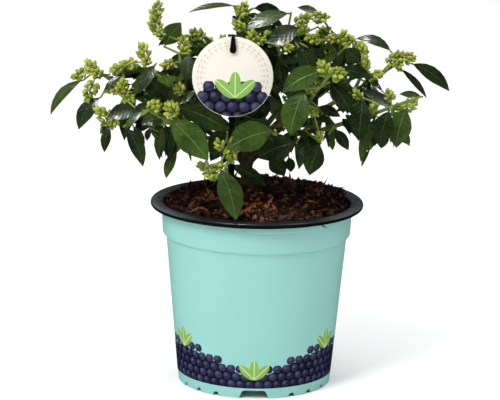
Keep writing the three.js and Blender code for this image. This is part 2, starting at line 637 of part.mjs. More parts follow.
/** A leaf's blade as lines that run to its tip and as flat triangles, to test it against others. */
function bladeOf(leaf) {
  const rows = [0.07, ...LEAF.stations].map((t) => {
    const { rib, right, left, half } = leafStation(leaf, t);
    return [rib.clone().addScaledVector(right, half), rib, rib.clone().addScaledVector(left, half)];
  });
  const tip = leafStation(leaf, 1).rib;
  rows.push([tip, tip, tip]);
  const [lines, flats] = [[], []];
  rows.slice(1).forEach((row, k) => {
    row.forEach((p, i) => lines.push([rows[k][i], p]));
    [0, 1].forEach((i) => {
      flats.push([rows[k][i], rows[k][i + 1], row[i]], [rows[k][i + 1], row[i], row[i + 1]]);
    });
  });
  return { lines, flats };
}

/** Lines along a limb's surface and its axis, to test leaves against. */
function linesOf({ from, to, radius }) {
  const direction = to.clone().sub(from).normalize();
  const ends = [from, to].map((end) => [end, ...ringOf(end, direction, radius + GAP, 4)]);
  return ends[0].map((start, k) => [start, ends[1][k]]);
}

/** Whether a leaf goes through a limb, or through another leaf, a bud cluster or a shoot of its own mass. */
function crosses(leaf, grown) {
  const blade = bladeOf(leaf);
  const outer = leafPoints(leaf).slice(3);
  const near = ({ middle }) => outer.some((p) => p.distanceTo(middle) < BUD.radius * 1.1);
  if (grown.buds.some(near)) return true;
  if (grown.lines.some((line) => blade.flats.some((flat) => pierces(line, flat)))) return true;
  return grown.blades.some(({ lines, flats }) => (
    blade.lines.some((line) => flats.some((flat) => pierces(line, flat)))
    || lines.some((line) => blade.flats.some((flat) => pierces(line, flat)))
  ));
}

/** How far across and up a point lies as seen from the front, and how far back. */
function seen({ x, y, z }) {
  const { middle, height, distance } = FRONT;
  const tilt = radians(FRONT.tilt);
  const depth = y * Math.cos(tilt) - (z - height) * Math.sin(tilt);
  const far = 1 + depth / distance;
  return {
    across: middle + (x - middle) / far,
    up: height + (z - height + y * Math.tan(tilt)) / far,
    depth,
  };
}

/** How far up an edge of the outline lies at a place across. */
function edgeAt(edge, across) {
  const k = edge.findIndex(([right]) => right >= across);
  const [[left, low], [right, high]] = [edge[k - 1], edge[k]];
  return THREE.MathUtils.mapLinear(across, left, right, low, high);
}

/** Whether a point keeps inside the crown's outline and out of its openings. */
function inOutline(p) {
  const { across, up } = seen(p);
  if (across <= CROWN_TOP[0][0] || across >= CROWN_TOP.at(-1)[0]) return false;
  if (up > edgeAt(CROWN_TOP, across) || up < edgeAt(CROWN_FOOT, across)) return false;
  return OPENINGS.every(([x, z, radius]) => Math.hypot(across - x, up - z) > radius);
}

/** The leaves that stand out as flat bars in the view from the front, with their radii and depths. */
const standing = Object.values(PROUD_LEAVES).flat().map(({ root, tip, slim }) => {
  const [from, to] = [seen(point(root)), seen(point(tip))];
  const run = { across: to.across - from.across, up: to.up - from.up };
  const radius = 0.4 * slim * Math.hypot(run.across, run.up);
  return { from, run, radius, depth: (from.depth + to.depth) / 2 };
});

/** Whether a point is in front of a leaf that stands out. */
function hides(p) {
  const { across, up, depth } = seen(p);
  return standing.some(({ from, run, radius, depth: back }) => {
    const [x, z] = [across - from.across, up - from.up];
    const along = (x * run.across + z * run.up) / (run.across ** 2 + run.up ** 2);
    const t = THREE.MathUtils.clamp(along, 0.1, 0.95);
    return depth < back - 1 && Math.hypot(x - run.across * t, z - run.up * t) < radius;
  });
}

const showsWell = (p) => inOutline(p) && !hides(p);

/** A leaf from its root to its tip. */
function leafBetween({ root, tip, slim, droop, roll }) {
  const run = point(tip).sub(point(root));
  const chord = run.length();
  const length = (chord * droop) / 2 / Math.sin(droop / 2);
  const rise = Math.asin(run.z / chord) + droop / 2;
  const heading = Math.atan2(run.y, run.x);
  return { root: point(root), heading, rise, length, width: length * slim, droop, roll, fold: LEAF.fold };
}

/** A twig from the nearest point of a mass's stem and shoots to a leaf's root. */
function twigTo(root, grown) {
  const bars = [grown.stem, ...grown.shoots];
  const points = bars.flatMap((bar) => SHOOT_STATIONS.map((t) => shootPoint(bar, t)));
  const start = points.reduce((best, p) => (p.distanceTo(root) < best.distanceTo(root) ? p : best));
  const run = root.clone().sub(start);
  return { start, direction: run.clone().normalize(), length: run.length() + TWIG.tip };
}

/** Adds the leaves that stand out of a mass, where each has room. */
function growProudLeaves(own, grown) {
  (PROUD_LEAVES[names[own]] ?? []).forEach((proud) => {
    const leaf = leafBetween(proud);
    const twig = twigTo(leaf.root, grown);
    const room = leafPoints(leaf).every((p) => fits(p, own))
      && SHOOT_STATIONS.every((t) => fits(shootPoint(twig, t), own, TWIG.shoot));
    if (!room || crosses(leaf, grown)) return;
    grown.leaves.push(leaf);
    grown.blades.push(bladeOf(leaf));
    grown.twigs.push(twig);
    grown.lines.push([twig.start, shootPoint(twig, 1)]);
  });
}

/** Adds the bud clusters that stand out of a mass, each on a twig of its own, where each has room. */
function growProudBuds(own, grown) {
  CLUSTERS.forEach(([x, y, z, size]) => {
    const middle = new THREE.Vector3(x, y, z);
    if (hearts.some((heart) => heart.distanceTo(middle) < hearts[own].distanceTo(middle))) return;
    const { direction } = twigTo(middle, grown);
    const way = direction.clone().addScaledVector(UP, BUD.upright).normalize();
    const root = middle.clone().addScaledVector(way, -BUD.radius * size);
    const twig = twigTo(root, grown);
    const end = middle.clone().addScaledVector(way, BUD.radius * BUD.stretch * size);
    const room = [middle, end].every((p) => fits(p, own, BUD.gap))
      && SHOOT_STATIONS.every((t) => fits(shootPoint(twig, t), own, TWIG.shoot));
    const clear = grown.leaves.flatMap(leafPoints).every((p) => p.distanceTo(middle) > BUD.radius * size);
    if (!room || !clear) return;
    grown.buds.push({ root, middle, way, seed: x + z, size });
    grown.twigs.push(twig);
    grown.lines.push([twig.start, shootPoint(twig, 1)]);
  });
}

/** Adds a shoot's leaves, spiralling up it; each is tried with other headings until it has room. */
function growLeaves(shoot, own, count, grown) {
  const [across, over] = squareTo(shoot.direction);
  for (let i = 0; i < count; i += 1) {
    const t = 0.12 + (0.88 * i) / (count - 1);
    for (let trial = 0; trial < LEAF.tries; trial += 1) {
      const seed = shoot.seed + 31 * i + 7 * trial + 0.5;
      const sway = 0.14 * trial;
      const turn = radians(GOLDEN_ANGLE * i + 40 * shoot.seed) + draw(seed, 1, -0.3 - sway, 0.3 + sway);
      const forward = t > 0.9 ? 0.8 : draw(seed, 2, 0.35, 0.6);
      const out = across.clone().multiplyScalar(Math.cos(turn)).addScaledVector(over, Math.sin(turn));
      const way = out.multiplyScalar(Math.sqrt(1 - forward ** 2)).addScaledVector(shoot.direction, forward);
      const length = draw(seed, 3, ...LEAF.length) * (t > 0.9 ? 0.86 : 1) * (1 - 0.03 * trial);
      const leaf = {
        root: shootPoint(shoot, t),
        heading: Math.atan2(way.y, way.x) + draw(seed, 4, -sway, sway),
        rise: 0.5 * Math.asin(way.z) + draw(seed, 5, -0.15 - sway, 0.3),
        length,
        width: length * LEAF.slim * draw(seed, 6, 0.88, 1.1),
        droop: draw(seed, 7, 0.45, 1.35),
        roll: draw(seed, 8, -0.5, 0.5),
        fold: draw(seed, 9, 0.15, 0.4),
      };
      if (leafPoints(leaf).every((p) => showsWell(p) && fits(p, own)) && !crosses(leaf, grown)) {
        grown.leaves.push(leaf);
        grown.blades.push(bladeOf(leaf));
        break;
      }
    }
  }
}

/** Adds the bud clusters of a shoot, on short stalks near its tip. */
function growBuds(shoot, own, grown) {
  const taken = grown.leaves.flatMap(leafPoints);
  const clear = (p) => taken.every((q) => q.distanceTo(p) > BUD.radius);
  for (let i = 0; i < BUD.count; i += 1) {
    for (let trial = 0; trial < LEAF.tries; trial += 1) {
      const seed = shoot.seed + 43 * i + 11 * trial + 0.25;
      const root = shootPoint(shoot, i === 0 ? 1 : 0.94 - 0.16 * i);
      const way = toward(draw(seed, 1, 0, 360), draw(seed, 2, 20, 80));
      if (i === 0) way.addScaledVector(shoot.direction, 1).normalize();
      const middle = root.clone().addScaledVector(way, BUD.stand + BUD.radius * 0.7);
      const far = middle.clone().addScaledVector(way, BUD.radius * BUD.stretch);
      const room = [middle, far, ...ringOf(middle, way, BUD.radius, 4)].every((p) => fits(p, own, BUD.gap));
      const apart = grown.buds.every((bud) => bud.middle.distanceTo(middle) > BUD.radius * 2);
      if (room && apart && [middle, far].every((p) => clear(p) && showsWell(p))) {
        grown.buds.push({ root, middle, way, seed, size: 1 });
        break;
      }
    }
  }
}

function budSolid({ root, middle, way, seed, size }) {
  const start = root.clone().addScaledVector(way, -TWIG.tip);
  const end = middle.clone().addScaledVector(way, BUD.radius * BUD.stretch * size);
  const radius = BUD.radius * size * draw(seed, 3, 0.85, 1.05);
  return loft([[start], ringOf(middle, way, radius, BUD.sides), [end]]);
}

/** Everything that grows in a mass: its stem, shoots, twigs, leaves and bud clusters. */
function grow(own) {
  const stem = stemOf(own);
  const shoots = shootsOf(own);
  const axes = [stem, ...shoots].map((bar) => [bar.start, shootPoint(bar, 1)]);
  const lines = [...limbs.filter(({ mass }) => mass !== own).flatMap(linesOf), ...axes];
  const grown = { stem, shoots, lines, twigs: [], leaves: [], blades: [], buds: [] };
  growProudLeaves(own, grown);
  growProudBuds(own, grown);
  shoots.forEach((shoot) => growBuds(shoot, own, grown));
  shoots.forEach((shoot) => growLeaves(shoot, own, LEAF.count, grown));
  growLeaves(stem, own, Math.round(stem.length / LEAF.spacing), grown);
  return grown;
}

function foliage(own) {
  const { stem, shoots, twigs, leaves, buds } = grow(own);
  const stemSolid = loft([
    ringOf(stem.start, stem.lead, TWIG.stem, TWIG.sides),
    ringOf(shootPoint(stem, 1), stem.direction, TWIG.shoot, TWIG.sides),
  ]);
  const parts = [...shoots, ...twigs].map(shootSolid).concat(buds.map(budSolid), leaves.map(leafSolid));
  const solid = oneBody(parts.reduce((all, part) => all.add(part), stemSolid));
  return piece(`foliage_${names[own]}`, solid, COLOURS.foliage);
}

// ---------- The assembly ----------

const pottedBush = new THREE.Group();
pottedBush.add(pot(), rim(), soil(), tag(), stick(), ...trunkAndBoughs());
pottedBush.add(...names.map((_, k) => foliage(k)));

export default pottedBush;
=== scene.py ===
"""A blueberry bush in a round nursery pot: its visible pieces, finishes, floor, lights and camera.

The sizes are in millimetres and repeat those of the solids. Meshes are made in metres.
"""
import math
import random
from collections import namedtuple

import bpy
import numpy as np
from mathutils import Matrix, Vector, noise


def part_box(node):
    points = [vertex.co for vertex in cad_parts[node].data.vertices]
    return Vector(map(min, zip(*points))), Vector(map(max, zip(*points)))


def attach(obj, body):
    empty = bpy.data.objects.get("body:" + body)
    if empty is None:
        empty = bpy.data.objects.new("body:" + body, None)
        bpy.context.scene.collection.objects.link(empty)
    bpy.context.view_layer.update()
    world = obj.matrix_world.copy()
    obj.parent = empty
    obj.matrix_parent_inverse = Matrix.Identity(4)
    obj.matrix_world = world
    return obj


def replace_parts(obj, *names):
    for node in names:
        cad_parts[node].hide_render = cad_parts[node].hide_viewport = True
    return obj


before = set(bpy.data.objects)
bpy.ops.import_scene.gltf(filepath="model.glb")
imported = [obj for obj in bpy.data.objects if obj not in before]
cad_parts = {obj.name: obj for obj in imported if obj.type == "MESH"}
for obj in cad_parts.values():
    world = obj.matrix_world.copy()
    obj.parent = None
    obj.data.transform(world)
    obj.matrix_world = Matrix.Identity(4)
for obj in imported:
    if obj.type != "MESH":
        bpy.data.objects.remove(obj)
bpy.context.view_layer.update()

MM = 0.001
UP = np.array((0.0, 0.0, 1.0))

# ---------- Sizes, in millimetres ----------

# POT_TOP and COLLAR are a radius and a height. All heights run from the ground.
GAP = 0.3
POT_FOOT = 61.4
POT_TOP = (72.2, 119)
COLLAR = (75, 121.5)
COLLAR_TOP = 76.4
RING_LINE = {"height": 137.6, "step": 0.45}
POT_HEIGHT = 143
POT_WALL = 1.8
POT_FLOOR = {"underside": 7.4, "thickness": 2}
BOSS = {"radius": 14, "draft": 1.5}
DRAIN = {"count": 6, "radius": 4, "circle": 38}
CUTTER = {"length": 14, "below": 1}
FOOT_GAP = {"width": 18, "height": 6.8, "corner": 2.2, "flare": 3.2}
NOTCH = {"width": 3.2, "height": 3.3, "corner": 1, "flare": 1.8}
NOTCH_ANGLES = (29, 45, 61)

RIM_RADIUS = 85
RIM_HEIGHT = 147.5
RIM_INNER = 74.4
LIP = {"radius": 2.3, "height": 144.9}
LINER = 1.3
LINER_BOTTOM = 126
LINER_TAPER = 0.075

SOIL_EDGE = 141.4
SOIL_CROWN = 157.2

TAG_RADIUS = 31
TAG_THICKNESS = 1
TAG_AT = np.array((-20.5, -64, 257.5))
TAG_ROOM = {"behind": 5, "round": 3, "climb": 0.22}
STICK = {"width": 5, "thickness": 2.2, "bottom": 106, "over": 0.6}
PEG = {"length": 13, "top": 2.6, "bottom": 5}
STICK_LINE = TAG_AT[1] + TAG_THICKNESS / 2 + GAP + STICK["thickness"] / 2

TRUNK_FOOT = np.array((-6.5, 2, SOIL_CROWN + GAP))
TRUNK_FORK = np.array((-9.0, 3, 180))
TRUNK_RADIUS = 5.6
TRUNK_STEPS = (
    (0, 8.4), (0.12, TRUNK_RADIUS * 1.16), (0.35, TRUNK_RADIUS), (0.75, TRUNK_RADIUS * 0.86), (1, 4.2))
BOUGH = {"start": 2.8, "end": 1.7, "steps": 3, "bend": 0.45, "climb": 0.2, "arch": 4}
BOUGH_START = (0.55, 0.95)
TRUNK_MESH = {"steps": 26, "sides": 36}
BOUGH_MESH = {"steps": 18, "sides": 14}
RELIEF = {"lobes": 0.13, "trunk": 0.08, "bough": 0.16}
TWIG = {"stem": 1.9, "shoot": 1.6, "tip": 1.1}
LEAF = {"length": (36, 50), "slim": 0.5, "count": 6, "spacing": 9, "tries": 12, "fold": 0.22}
TEST_STATIONS = np.array((0.15, 0.3, 0.5, 0.68, 0.85, 1))
BLADE_STATIONS = np.array((0.07, 0.3, 0.68))
BUD = {"count": 2, "radius": 5.2, "stretch": 1.3, "stand": 3, "gap": 2}
SPACE_GAP = 0.9
LIMB_GAP = 3.4
SOIL_GAP = 4
RIM_GAP = {"out": 3, "over": 2, "from": 68}
SHOOT_STATIONS = (0.2, 0.35, 0.5, 0.65, 0.8, 1)
GOLDEN_ANGLE = 137.5
HASH = (12.9898, 78.233, 43758.5453)
CLUSTER_FRONT = 24
TONE_FROM = {"young": 0.22, "mid": 0.62, "fresh": 1.02}

# The masses of foliage: heart, aim, reach, shoots, fan, stem and seed of each, as in the solids.
Mass = namedtuple("Mass", "heart aim reach shoots fan stem seed")
MASSES = {
    "left_outer": Mass((-98, -4, 230), (182, 34), 46, 3, 62, 48, 20),
    "left_upper": Mass((-62, -38, 242), (192, 34), 42, 3, 70, 44, 27),
    "left_lower": Mass((-64, -54, 217), (205, 30), 34, 3, 64, 40, 99),
    "left_top": Mass((-46, 8, 258), (172, 58), 46, 3, 100, 40, 17),
    "left_back": Mass((-58, 60, 234), (140, 28), 42, 3, 60, 46, 83),
    "front_low": Mass((-6, -50, 217), (236, -8), 32, 3, 76, 36, 117),
    "front_right": Mass((34, -58, 234), (315, 44), 40, 3, 70, 40, 100),
    "middle": Mass((-12, -8, 232), (270, 66), 28, 3, 110, 30, 7),
    "top_middle": Mass((-8, 18, 260), (100, 78), 36, 4, 90, 40, 49),
    "back": Mass((2, 80, 240), (92, 28), 42, 3, 56, 46, 40),
    "right_top": Mass((44, 14, 254), (40, 64), 40, 4, 80, 42, 8),
    "right_upper": Mass((86, -4, 244), (355, 36), 44, 3, 64, 46, 79),
    "right_outer": Mass((84, -40, 224), (344, 24), 44, 3, 58, 46, 121),
    "right_lower": Mass((36, -37, 211), (318, 2), 34, 3, 76, 36, 43),
    "right_back": Mass((68, 60, 236), (38, 28), 42, 3, 58, 46, 47),
}

# Leaves that stand out of the crown: root, tip, slimness, droop and roll, as in the solids, and their tone.
Proud = namedtuple("Proud", "root tip slim droop roll tone")
PROUD_LEAVES = {
    "left_outer": (
        Proud((-138, -6, 243), (-164, -10, 215), 0.23, 1.0, -1.0, "mid"),
        Proud((-124, -14, 231), (-141, -22, 206), 0.45, 0.9, -0.8, "dark"),
        Proud((-116, -30, 212), (-120, -36, 191), 0.36, 0.6, -0.4, "dark"),
    ),
    "left_upper": (Proud((-80, -44, 263), (-92, -56, 242), 0.44, 0.6, -0.7, "dark"),),
    "left_lower": (
        Proud((-69, -72, 226), (-38, -84, 196), 0.54, 0.35, 1.2, "fresh"),
        Proud((-104, -46, 214), (-89, -54, 184), 0.36, 0.7, 1.1, "dark"),
        Proud((-74, -56, 218), (-76, -60, 191), 0.34, 0.5, -0.2, "dark"),
        Proud((-62, -46, 196), (-71, -50, 174), 0.34, 0.7, -0.9, "mid"),
    ),
    "left_top": (Proud((-65, 6, 275), (-80, 0, 270), 0.32, 0.8, -0.9, "dark"),),
    "front_low": (
        Proud((-30, -74, 189), (-16, -85, 150), 0.46, 0.5, 0.6, "mid"),
        Proud((13, -68, 217), (-24, -80, 204), 0.54, 0.6, -1.2, "fresh"),
        Proud((-23, -43, 184), (7, -50, 169), 0.32, 0.6, 1.4, "dark"),
    ),
    "front_right": (
        Proud((35, -80, 252), (24, -92, 218), 0.54, 0.6, -0.6, "fresh"),
        Proud((50, -78, 266), (18, -84, 250), 0.48, 0.7, -1.2, "fresh"),
    ),
    "top_middle": (Proud((-6, 6, 300), (17, 4, 296), 0.42, 0.8, 1.8, "dark"),),
    "right_upper": (
        Proud((118, -14, 262), (149, -18, 241), 0.27, 0.7, 1.5, "dark"),
        Proud((110, -8, 257), (132, -12, 234), 0.16, 0.5, 1.7, "dark"),
        Proud((104, 0, 268), (76, 8, 277), 0.24, 1.1, -1.0, "dark"),
    ),
    "right_outer": (
        Proud((80, -64, 243), (77, -74, 212), 0.54, 0.6, -0.3, "dark"),
        Proud((115, -46, 233), (107, -52, 202), 0.52, 0.6, -0.9, "fresh"),
        Proud((101, -56, 233), (94, -62, 204), 0.54, 0.6, -0.8, "dark"),
    ),
    "right_lower": (Proud((48, -58, 206), (40, -66, 182), 0.62, 0.5, -0.8, "dark"),),
}

# Further leaves that stand out: root, tip, slimness, droop, turn away from facing front, and tone.
Near = namedtuple("Near", "root tip slim droop turn tone")
NEAR_LEAVES = (
    Near((-117, -20, 250), (-128, -24, 247), 0.3, 0.3, 0.9, "mid"),
    Near((-106, -24, 250), (-121, -30, 238), 0.28, 0.6, 0.5, "dark"),
    Near((-94, -44, 227), (-117, -48, 221), 0.55, 0.5, 0.3, "dark"),
    Near((-114, -18, 213), (-124, -24, 203), 0.45, 0.5, 0.4, "dark"),
    Near((-89, -30, 249), (-71, -36, 234), 0.6, 0.5, 0.2, "dark"),
    Near((-89, -60, 229), (-102, -66, 216), 0.36, 0.5, 0.3, "mid"),
    Near((-62, -58, 232), (-23, -52, 213), 0.44, 0.4, 0.1, "mid"),
    Near((-49, -48, 243), (-64, -56, 233), 0.42, 0.4, 0.3, "mid"),
    Near((-55, -40, 271), (-56, -48, 251), 0.6, 0.4, 0.3, "dark"),
    Near((-98, -40, 214), (-89, -46, 196), 0.36, 0.5, 0.3, "dark"),
    Near((-85, -30, 210), (-87, -32, 200), 0.5, 0.4, 0.3, "dark"),
    Near((-73, -50, 219), (-69, -52, 189), 0.34, 0.4, 0.3, "dark"),
    Near((-75, -4, 270), (-62, -8, 290), 0.64, 0.3, 0.1, "mid"),
    Near((-54, -4, 264), (-72, -12, 256), 0.42, 0.5, 0.3, "dark"),
    Near((30, -52, 205), (0, -58, 193), 0.62, 0.5, 0.1, "dark"),
    Near((8, -30, 190), (21, -34, 174), 0.62, 0.4, 0.2, "dark"),
    Near((-24, -34, 212), (-38, -36, 192), 0.55, 0.4, 0.2, "dark"),
    Near((-25, -44, 203), (-37, -48, 188), 0.6, 0.4, 0.2, "dark"),
    Near((-72, -50, 223), (-91, -54, 217), 0.5, 0.4, 0.3, "mid"),
    Near((-84, -44, 232), (-97, -48, 223), 0.5, 0.4, 0.2, "dark"),
    Near((-83, -34, 257), (-97, -38, 237), 0.46, 0.4, 0.2, "mid"),
    Near((-16, -34, 205), (-27, -38, 184), 0.5, 0.4, 0.3, "dark"),
    Near((-5, -30, 208), (-13, -34, 187), 0.5, 0.4, 0.3, "dark"),
    Near((-19, 4, 302), (-56, 0, 297), 0.14, 0.6, 0.6, "mid"),
    # This leaf at the top takes the paler mid tone as a painted sheen of the bright sky above it.
    Near((24, -2, 298), (-12, -8, 285), 0.34, 0.6, 0.4, "mid"),
    Near((32, -8, 288), (6, -16, 273), 0.5, 0.5, 0.3, "dark"),
    Near((47, 4, 297), (29, 2, 302), 0.34, 0.5, 0.4, "dark"),
    Near((45, 0, 287), (64, -4, 264), 0.16, 0.8, 0.6, "mid"),
    Near((30, -24, 275), (41, -30, 256), 0.62, 0.4, 0.2, "dark"),
    Near((37, -18, 274), (49, -24, 259), 0.7, 0.4, 0.2, "dark"),
    Near((66, -10, 272), (79, -14, 261), 0.75, 0.4, 0.2, "dark"),
    Near((59, -30, 258), (87, -34, 254), 0.38, 0.5, 0.2, "dark"),
    Near((128, -16, 236), (110, -18, 238), 0.34, 0.3, 0.3, "mid"),
    Near((107, -26, 227), (80, -22, 241), 0.36, 0.4, 0.4, "dark"),
    Near((91, -40, 224), (80, -46, 189), 0.26, 0.5, 0.2, "mid"),
    Near((88, -36, 198), (81, -38, 183), 0.22, 0.5, 0.4, "mid"),
    Near((53, -68, 255), (71, -76, 233), 0.46, 0.4, 0.2, "dark"),
    Near((58, -46, 215), (70, -50, 199), 0.5, 0.4, 0.3, "dark"),
    Near((55, -40, 210), (58, -42, 197), 0.45, 0.4, 0.3, "fresh"),
    Near((45, -50, 233), (63, -54, 226), 0.42, 0.4, 0.3, "dark"),
    Near((24, -30, 189), (26, -32, 177), 0.65, 0.4, 0.3, "dark"),
    Near((13, -20, 189), (21, -24, 172), 0.5, 0.4, 0.3, "dark"),
)

# Bud clusters that stand out: the middle of each and its size.
CLUSTERS = (
    (-133, -10, 253, 1), (-143, -6, 244, 0.75), (-128, -12, 248, 0.6), (-132, -14, 232, 1.1),
    (-112, -18, 252, 0.9), (-103, -22, 257, 0.85), (-116, -24, 237, 0.8), (-107, -28, 241, 1),
    (-124, -22, 218, 1.2), (-113, -26, 210, 0.6), (-100, -38, 233, 0.8), (-91, -24, 270, 0.9),
    (-88, -28, 262, 0.6), (-81, 2, 299, 0.9), (-83, 0, 290, 1), (-81, -2, 280, 0.8),
    (-61, -8, 275, 0.85), (-58, -12, 266, 0.75), (-52, 6, 279, 0.6), (-72, -26, 258, 0.6),
    (-82, -64, 231, 1.2), (-67, -68, 231, 1.3), (-61, -56, 244, 0.8), (-31, -58, 203, 0.7),
    (-20, -68, 195, 1), (-42, -66, 186, 1), (-31, -72, 181, 1.1), (-13, 2, 301, 0.85),
    (-18, -6, 288, 0.75), (-6, -12, 280, 0.75), (2, -14, 277, 0.5), (36, 0, 293, 0.9),
    (49, 2, 293, 0.9), (39, -16, 279, 0.75), (24, -24, 273, 0.5), (55, -8, 278, 0.5),
    (65, -6, 281, 0.8), (48, -76, 266, 1.1), (58, -80, 262, 1.2), (39, -70, 249, 0.5),
    (42, -58, 229, 0.5), (79, -8, 273, 0.65), (83, -14, 263, 0.5), (91, -22, 253, 0.65),
    (108, -6, 265, 0.95), (118, -4, 263, 0.85), (109, -12, 258, 0.7), (101, -34, 240, 0.7),
    (121, -24, 231, 1), (109, -40, 226, 1), (87, -48, 230, 0.6), (75, -48, 243, 0.6),
    (47, -56, 210, 0.5),
)

# The crown's outline from in front and a little above, as across and up, and where one sees through it.
CROWN_TOP = np.array((
    (-141, 223), (-135, 239), (-122, 251), (-100, 258), (-87, 253), (-79, 252), (-70, 260), (-61, 274),
    (-53, 282), (-25, 283), (-22, 304), (-7, 306), (-2, 301), (22, 299), (30, 290), (56, 289), (68, 284),
    (79, 276), (90, 265), (98, 244), (110, 232), (125, 231), (132, 223),
))
CROWN_FOOT = np.array((
    (-141, 223), (-130, 203), (-123, 189), (-117, 194), (-109, 187), (-96, 180), (-86, 199), (-78, 180),
    (-65, 177), (-57, 185), (-51, 166), (-25, 164), (-9, 175), (4, 167), (24, 167), (28, 174), (39, 165),
    (52, 164), (58, 189), (70, 189), (76, 197), (85, 188), (98, 190), (122, 192), (126, 215), (132, 221),
))
OPENINGS = np.array((
    (-124, 240, 6), (-113, 228, 4), (-94, 224, 4), (-77, 263, 6), (95, 262, 10), (103, 245, 6),
    (53, 230, 5), (62, 228, 3), (78, 245, 4), (18, 268, 3), (42, 286, 4), (116, 241, 6), (60, 181, 6),
    (-88, 186, 4), (70, 182, 6),
))

# The camera: its tilt and roll, the middle of its view, its distance, and how much it takes in across.
VIEW = {"tilt": math.radians(12.8), "roll": math.radians(1), "middle": -5.6, "height": 146.7,
        "distance": 2000, "width": 399.5}


# ---------- Shader maths ----------

MIX = {"share": 0, "first": 6, "second": 7, "colour": 2}


class Value:
    """An output socket of a material, to write sums with."""

    def __init__(self, finish, socket):
        self.finish = finish
        self.socket = socket

    def math(self, operation, *others):
        return self.finish.node("Math", {"operation": operation}, (self, *others))

    def __add__(self, other):
        return self.math("ADD", other)

    __radd__ = __add__

    def __sub__(self, other):
        return self.math("SUBTRACT", other)

    def __rsub__(self, other):
        return self.finish.node("Math", {"operation": "SUBTRACT"}, (other, self))

    def __mul__(self, other):
        return self.math("MULTIPLY", other)

    __rmul__ = __mul__

    def __truediv__(self, other):
        return self.math("DIVIDE", other)

    def __lt__(self, other):
        return self.math("LESS_THAN", other)

    def __gt__(self, other):
        return self.math("GREATER_THAN", other)

    def __pow__(self, other):
        return self.math("POWER", other)

    def between(self, low, high):
        """Rises smoothly from 0 at low to 1 at high."""
        settings = {"interpolation_type": "SMOOTHSTEP"}
        inputs = {"Value": self, "From Min": low, "From Max": high}
        return self.finish.node("MapRange", settings, inputs)


class Finish:
    """A material and its nodes."""

    def __init__(self, name, **constants):
        self.material = bpy.data.materials.new(name)
        self.material.use_nodes = True
        self.tree = self.material.node_tree
        self.tree.nodes.clear()
        out = self.tree.nodes.new("ShaderNodeOutputMaterial")
        self.shader = self.tree.nodes.new("ShaderNodeBsdfPrincipled")
        self.tree.links.new(self.shader.outputs[0], out.inputs[0])
        self.put(**constants)

    def put(self, **sockets):
        """Sets or links the shader's own sockets; an underscore stands for a space."""
        for name, value in sockets.items():
            self.join(self.shader.inputs[name.replace("_", " ")], value)

    def join(self, socket, value):
        if isinstance(value, Value):
            self.tree.links.new(value.socket, socket)
        else:
            socket.default_value = value

    def node(self, kind, settings=None, inputs=(), output=0):
        """A node of a kind, with its settings made first, then the values or links of its sockets."""
        made = self.tree.nodes.new("ShaderNode" + kind)
        for name, value in (settings or {}).items():
            setattr(made, name, value)
        named = inputs.items() if isinstance(inputs, dict) else enumerate(inputs)
        for key, value in named:
            self.join(made.inputs[key], value)
        return Value(self, made.outputs[output])

    def place(self):
        """Object coordinates in millimetres."""
        here = self.node("TexCoord", output="Object")
        return self.node("VectorMath", {"operation": "SCALE"}, {0: here, "Scale": 1 / MM})

    def split(self, vector):
        made = self.node("SeparateXYZ", None, (vector,)).socket.node
        return [Value(self, output) for output in made.outputs]

    def blend(self, share, first, second):
        """A colour between two, by a share from 0 to 1."""
        settings = {"data_type": "RGBA", "clamp_factor": True}
        inputs = {MIX["share"]: share, MIX["first"]: first, MIX["second"]: second}
        return self.node("Mix", settings, inputs, MIX["colour"])

    def speckle(self, size, where, detail=2.0, rough=0.5):
        """Noise from about 0 to 1, with features of a size in millimetres."""
        inputs = {"Vector": where, "Scale": 1 / size, "Detail": detail, "Roughness": rough}
        return self.node("TexNoise", None, inputs)

    def bump(self, height, depth, strength=1.0):
        """A relief of a depth in millimetres, for heights from 0 to 1."""
        inputs = {"Strength": strength, "Distance": depth * MM, "Height": height}
        self.put(Normal=self.node("Bump", None, inputs))


def rgb(red, green, blue):
    """A colour from 0-255 display values, as a linear colour."""
    shares = [value / 255 for value in (red, green, blue)]
    linear = [share / 12.92 if share <= 0.04045 else ((share + 0.055) / 1.055) ** 2.4 for share in shares]
    return (*linear, 1.0)


# ---------- Finishes ----------

MINT = rgb(140, 196, 189)
NAVY = rgb(28, 27, 52)
NAVY_LIGHT = rgb(84, 86, 134)
NAVY_DEEP = rgb(10, 10, 20)
SPRIG = rgb(128, 172, 78)
SPRIG_LIGHT = rgb(204, 222, 168)
CREAM = rgb(218, 214, 203)
BEIGE = rgb(190, 176, 152)

# Rows of dots: how many columns, their pitch, and the height at which they start.
POT_DOTS = {"columns": 54, "pitch": 6.3, "base": 8.6}
TAG_DOTS = {"columns": 6.4, "pitch": 7.9, "base": -35}

# The height of the dots' upper edge: scallops round the pot, a shallow dip with steep ends on the tag.
POT_CREST = {"low": 21, "rise": 19}
TAG_CREST = {"middle": -6, "slope": 0.3, "shoulder": 21, "fall": 3}

# Sprigs of three leaves: the angle between the leaves, the length of each and half its breadth.
POT_SPRIG = {"spread": 44, "length": 16, "slim": 3.3}
TAG_SPRIG = {"spread": 48, "length": 20, "slim": 4.4}
TAG_SPRIG_FOOT = (2, -16)

# Round the pot: the number of sprigs, the way from one to the next, and how far each foot is below the crest.
SPRIGS_ROUND = 6
SPRIG_WAY = 64
SPRIG_SINK = 5

# The tag's ring, from its inner to its outer edge with a weave of spokes and rounds, and the printed area.
TAG_RING = {"inner": (21.5, 22), "outer": (28, 28.5), "spokes": 36, "rounds": 2.4, "share": 0.9}
TAG_PRINT = {"width": 58, "edge": (30.5, 30.8)}


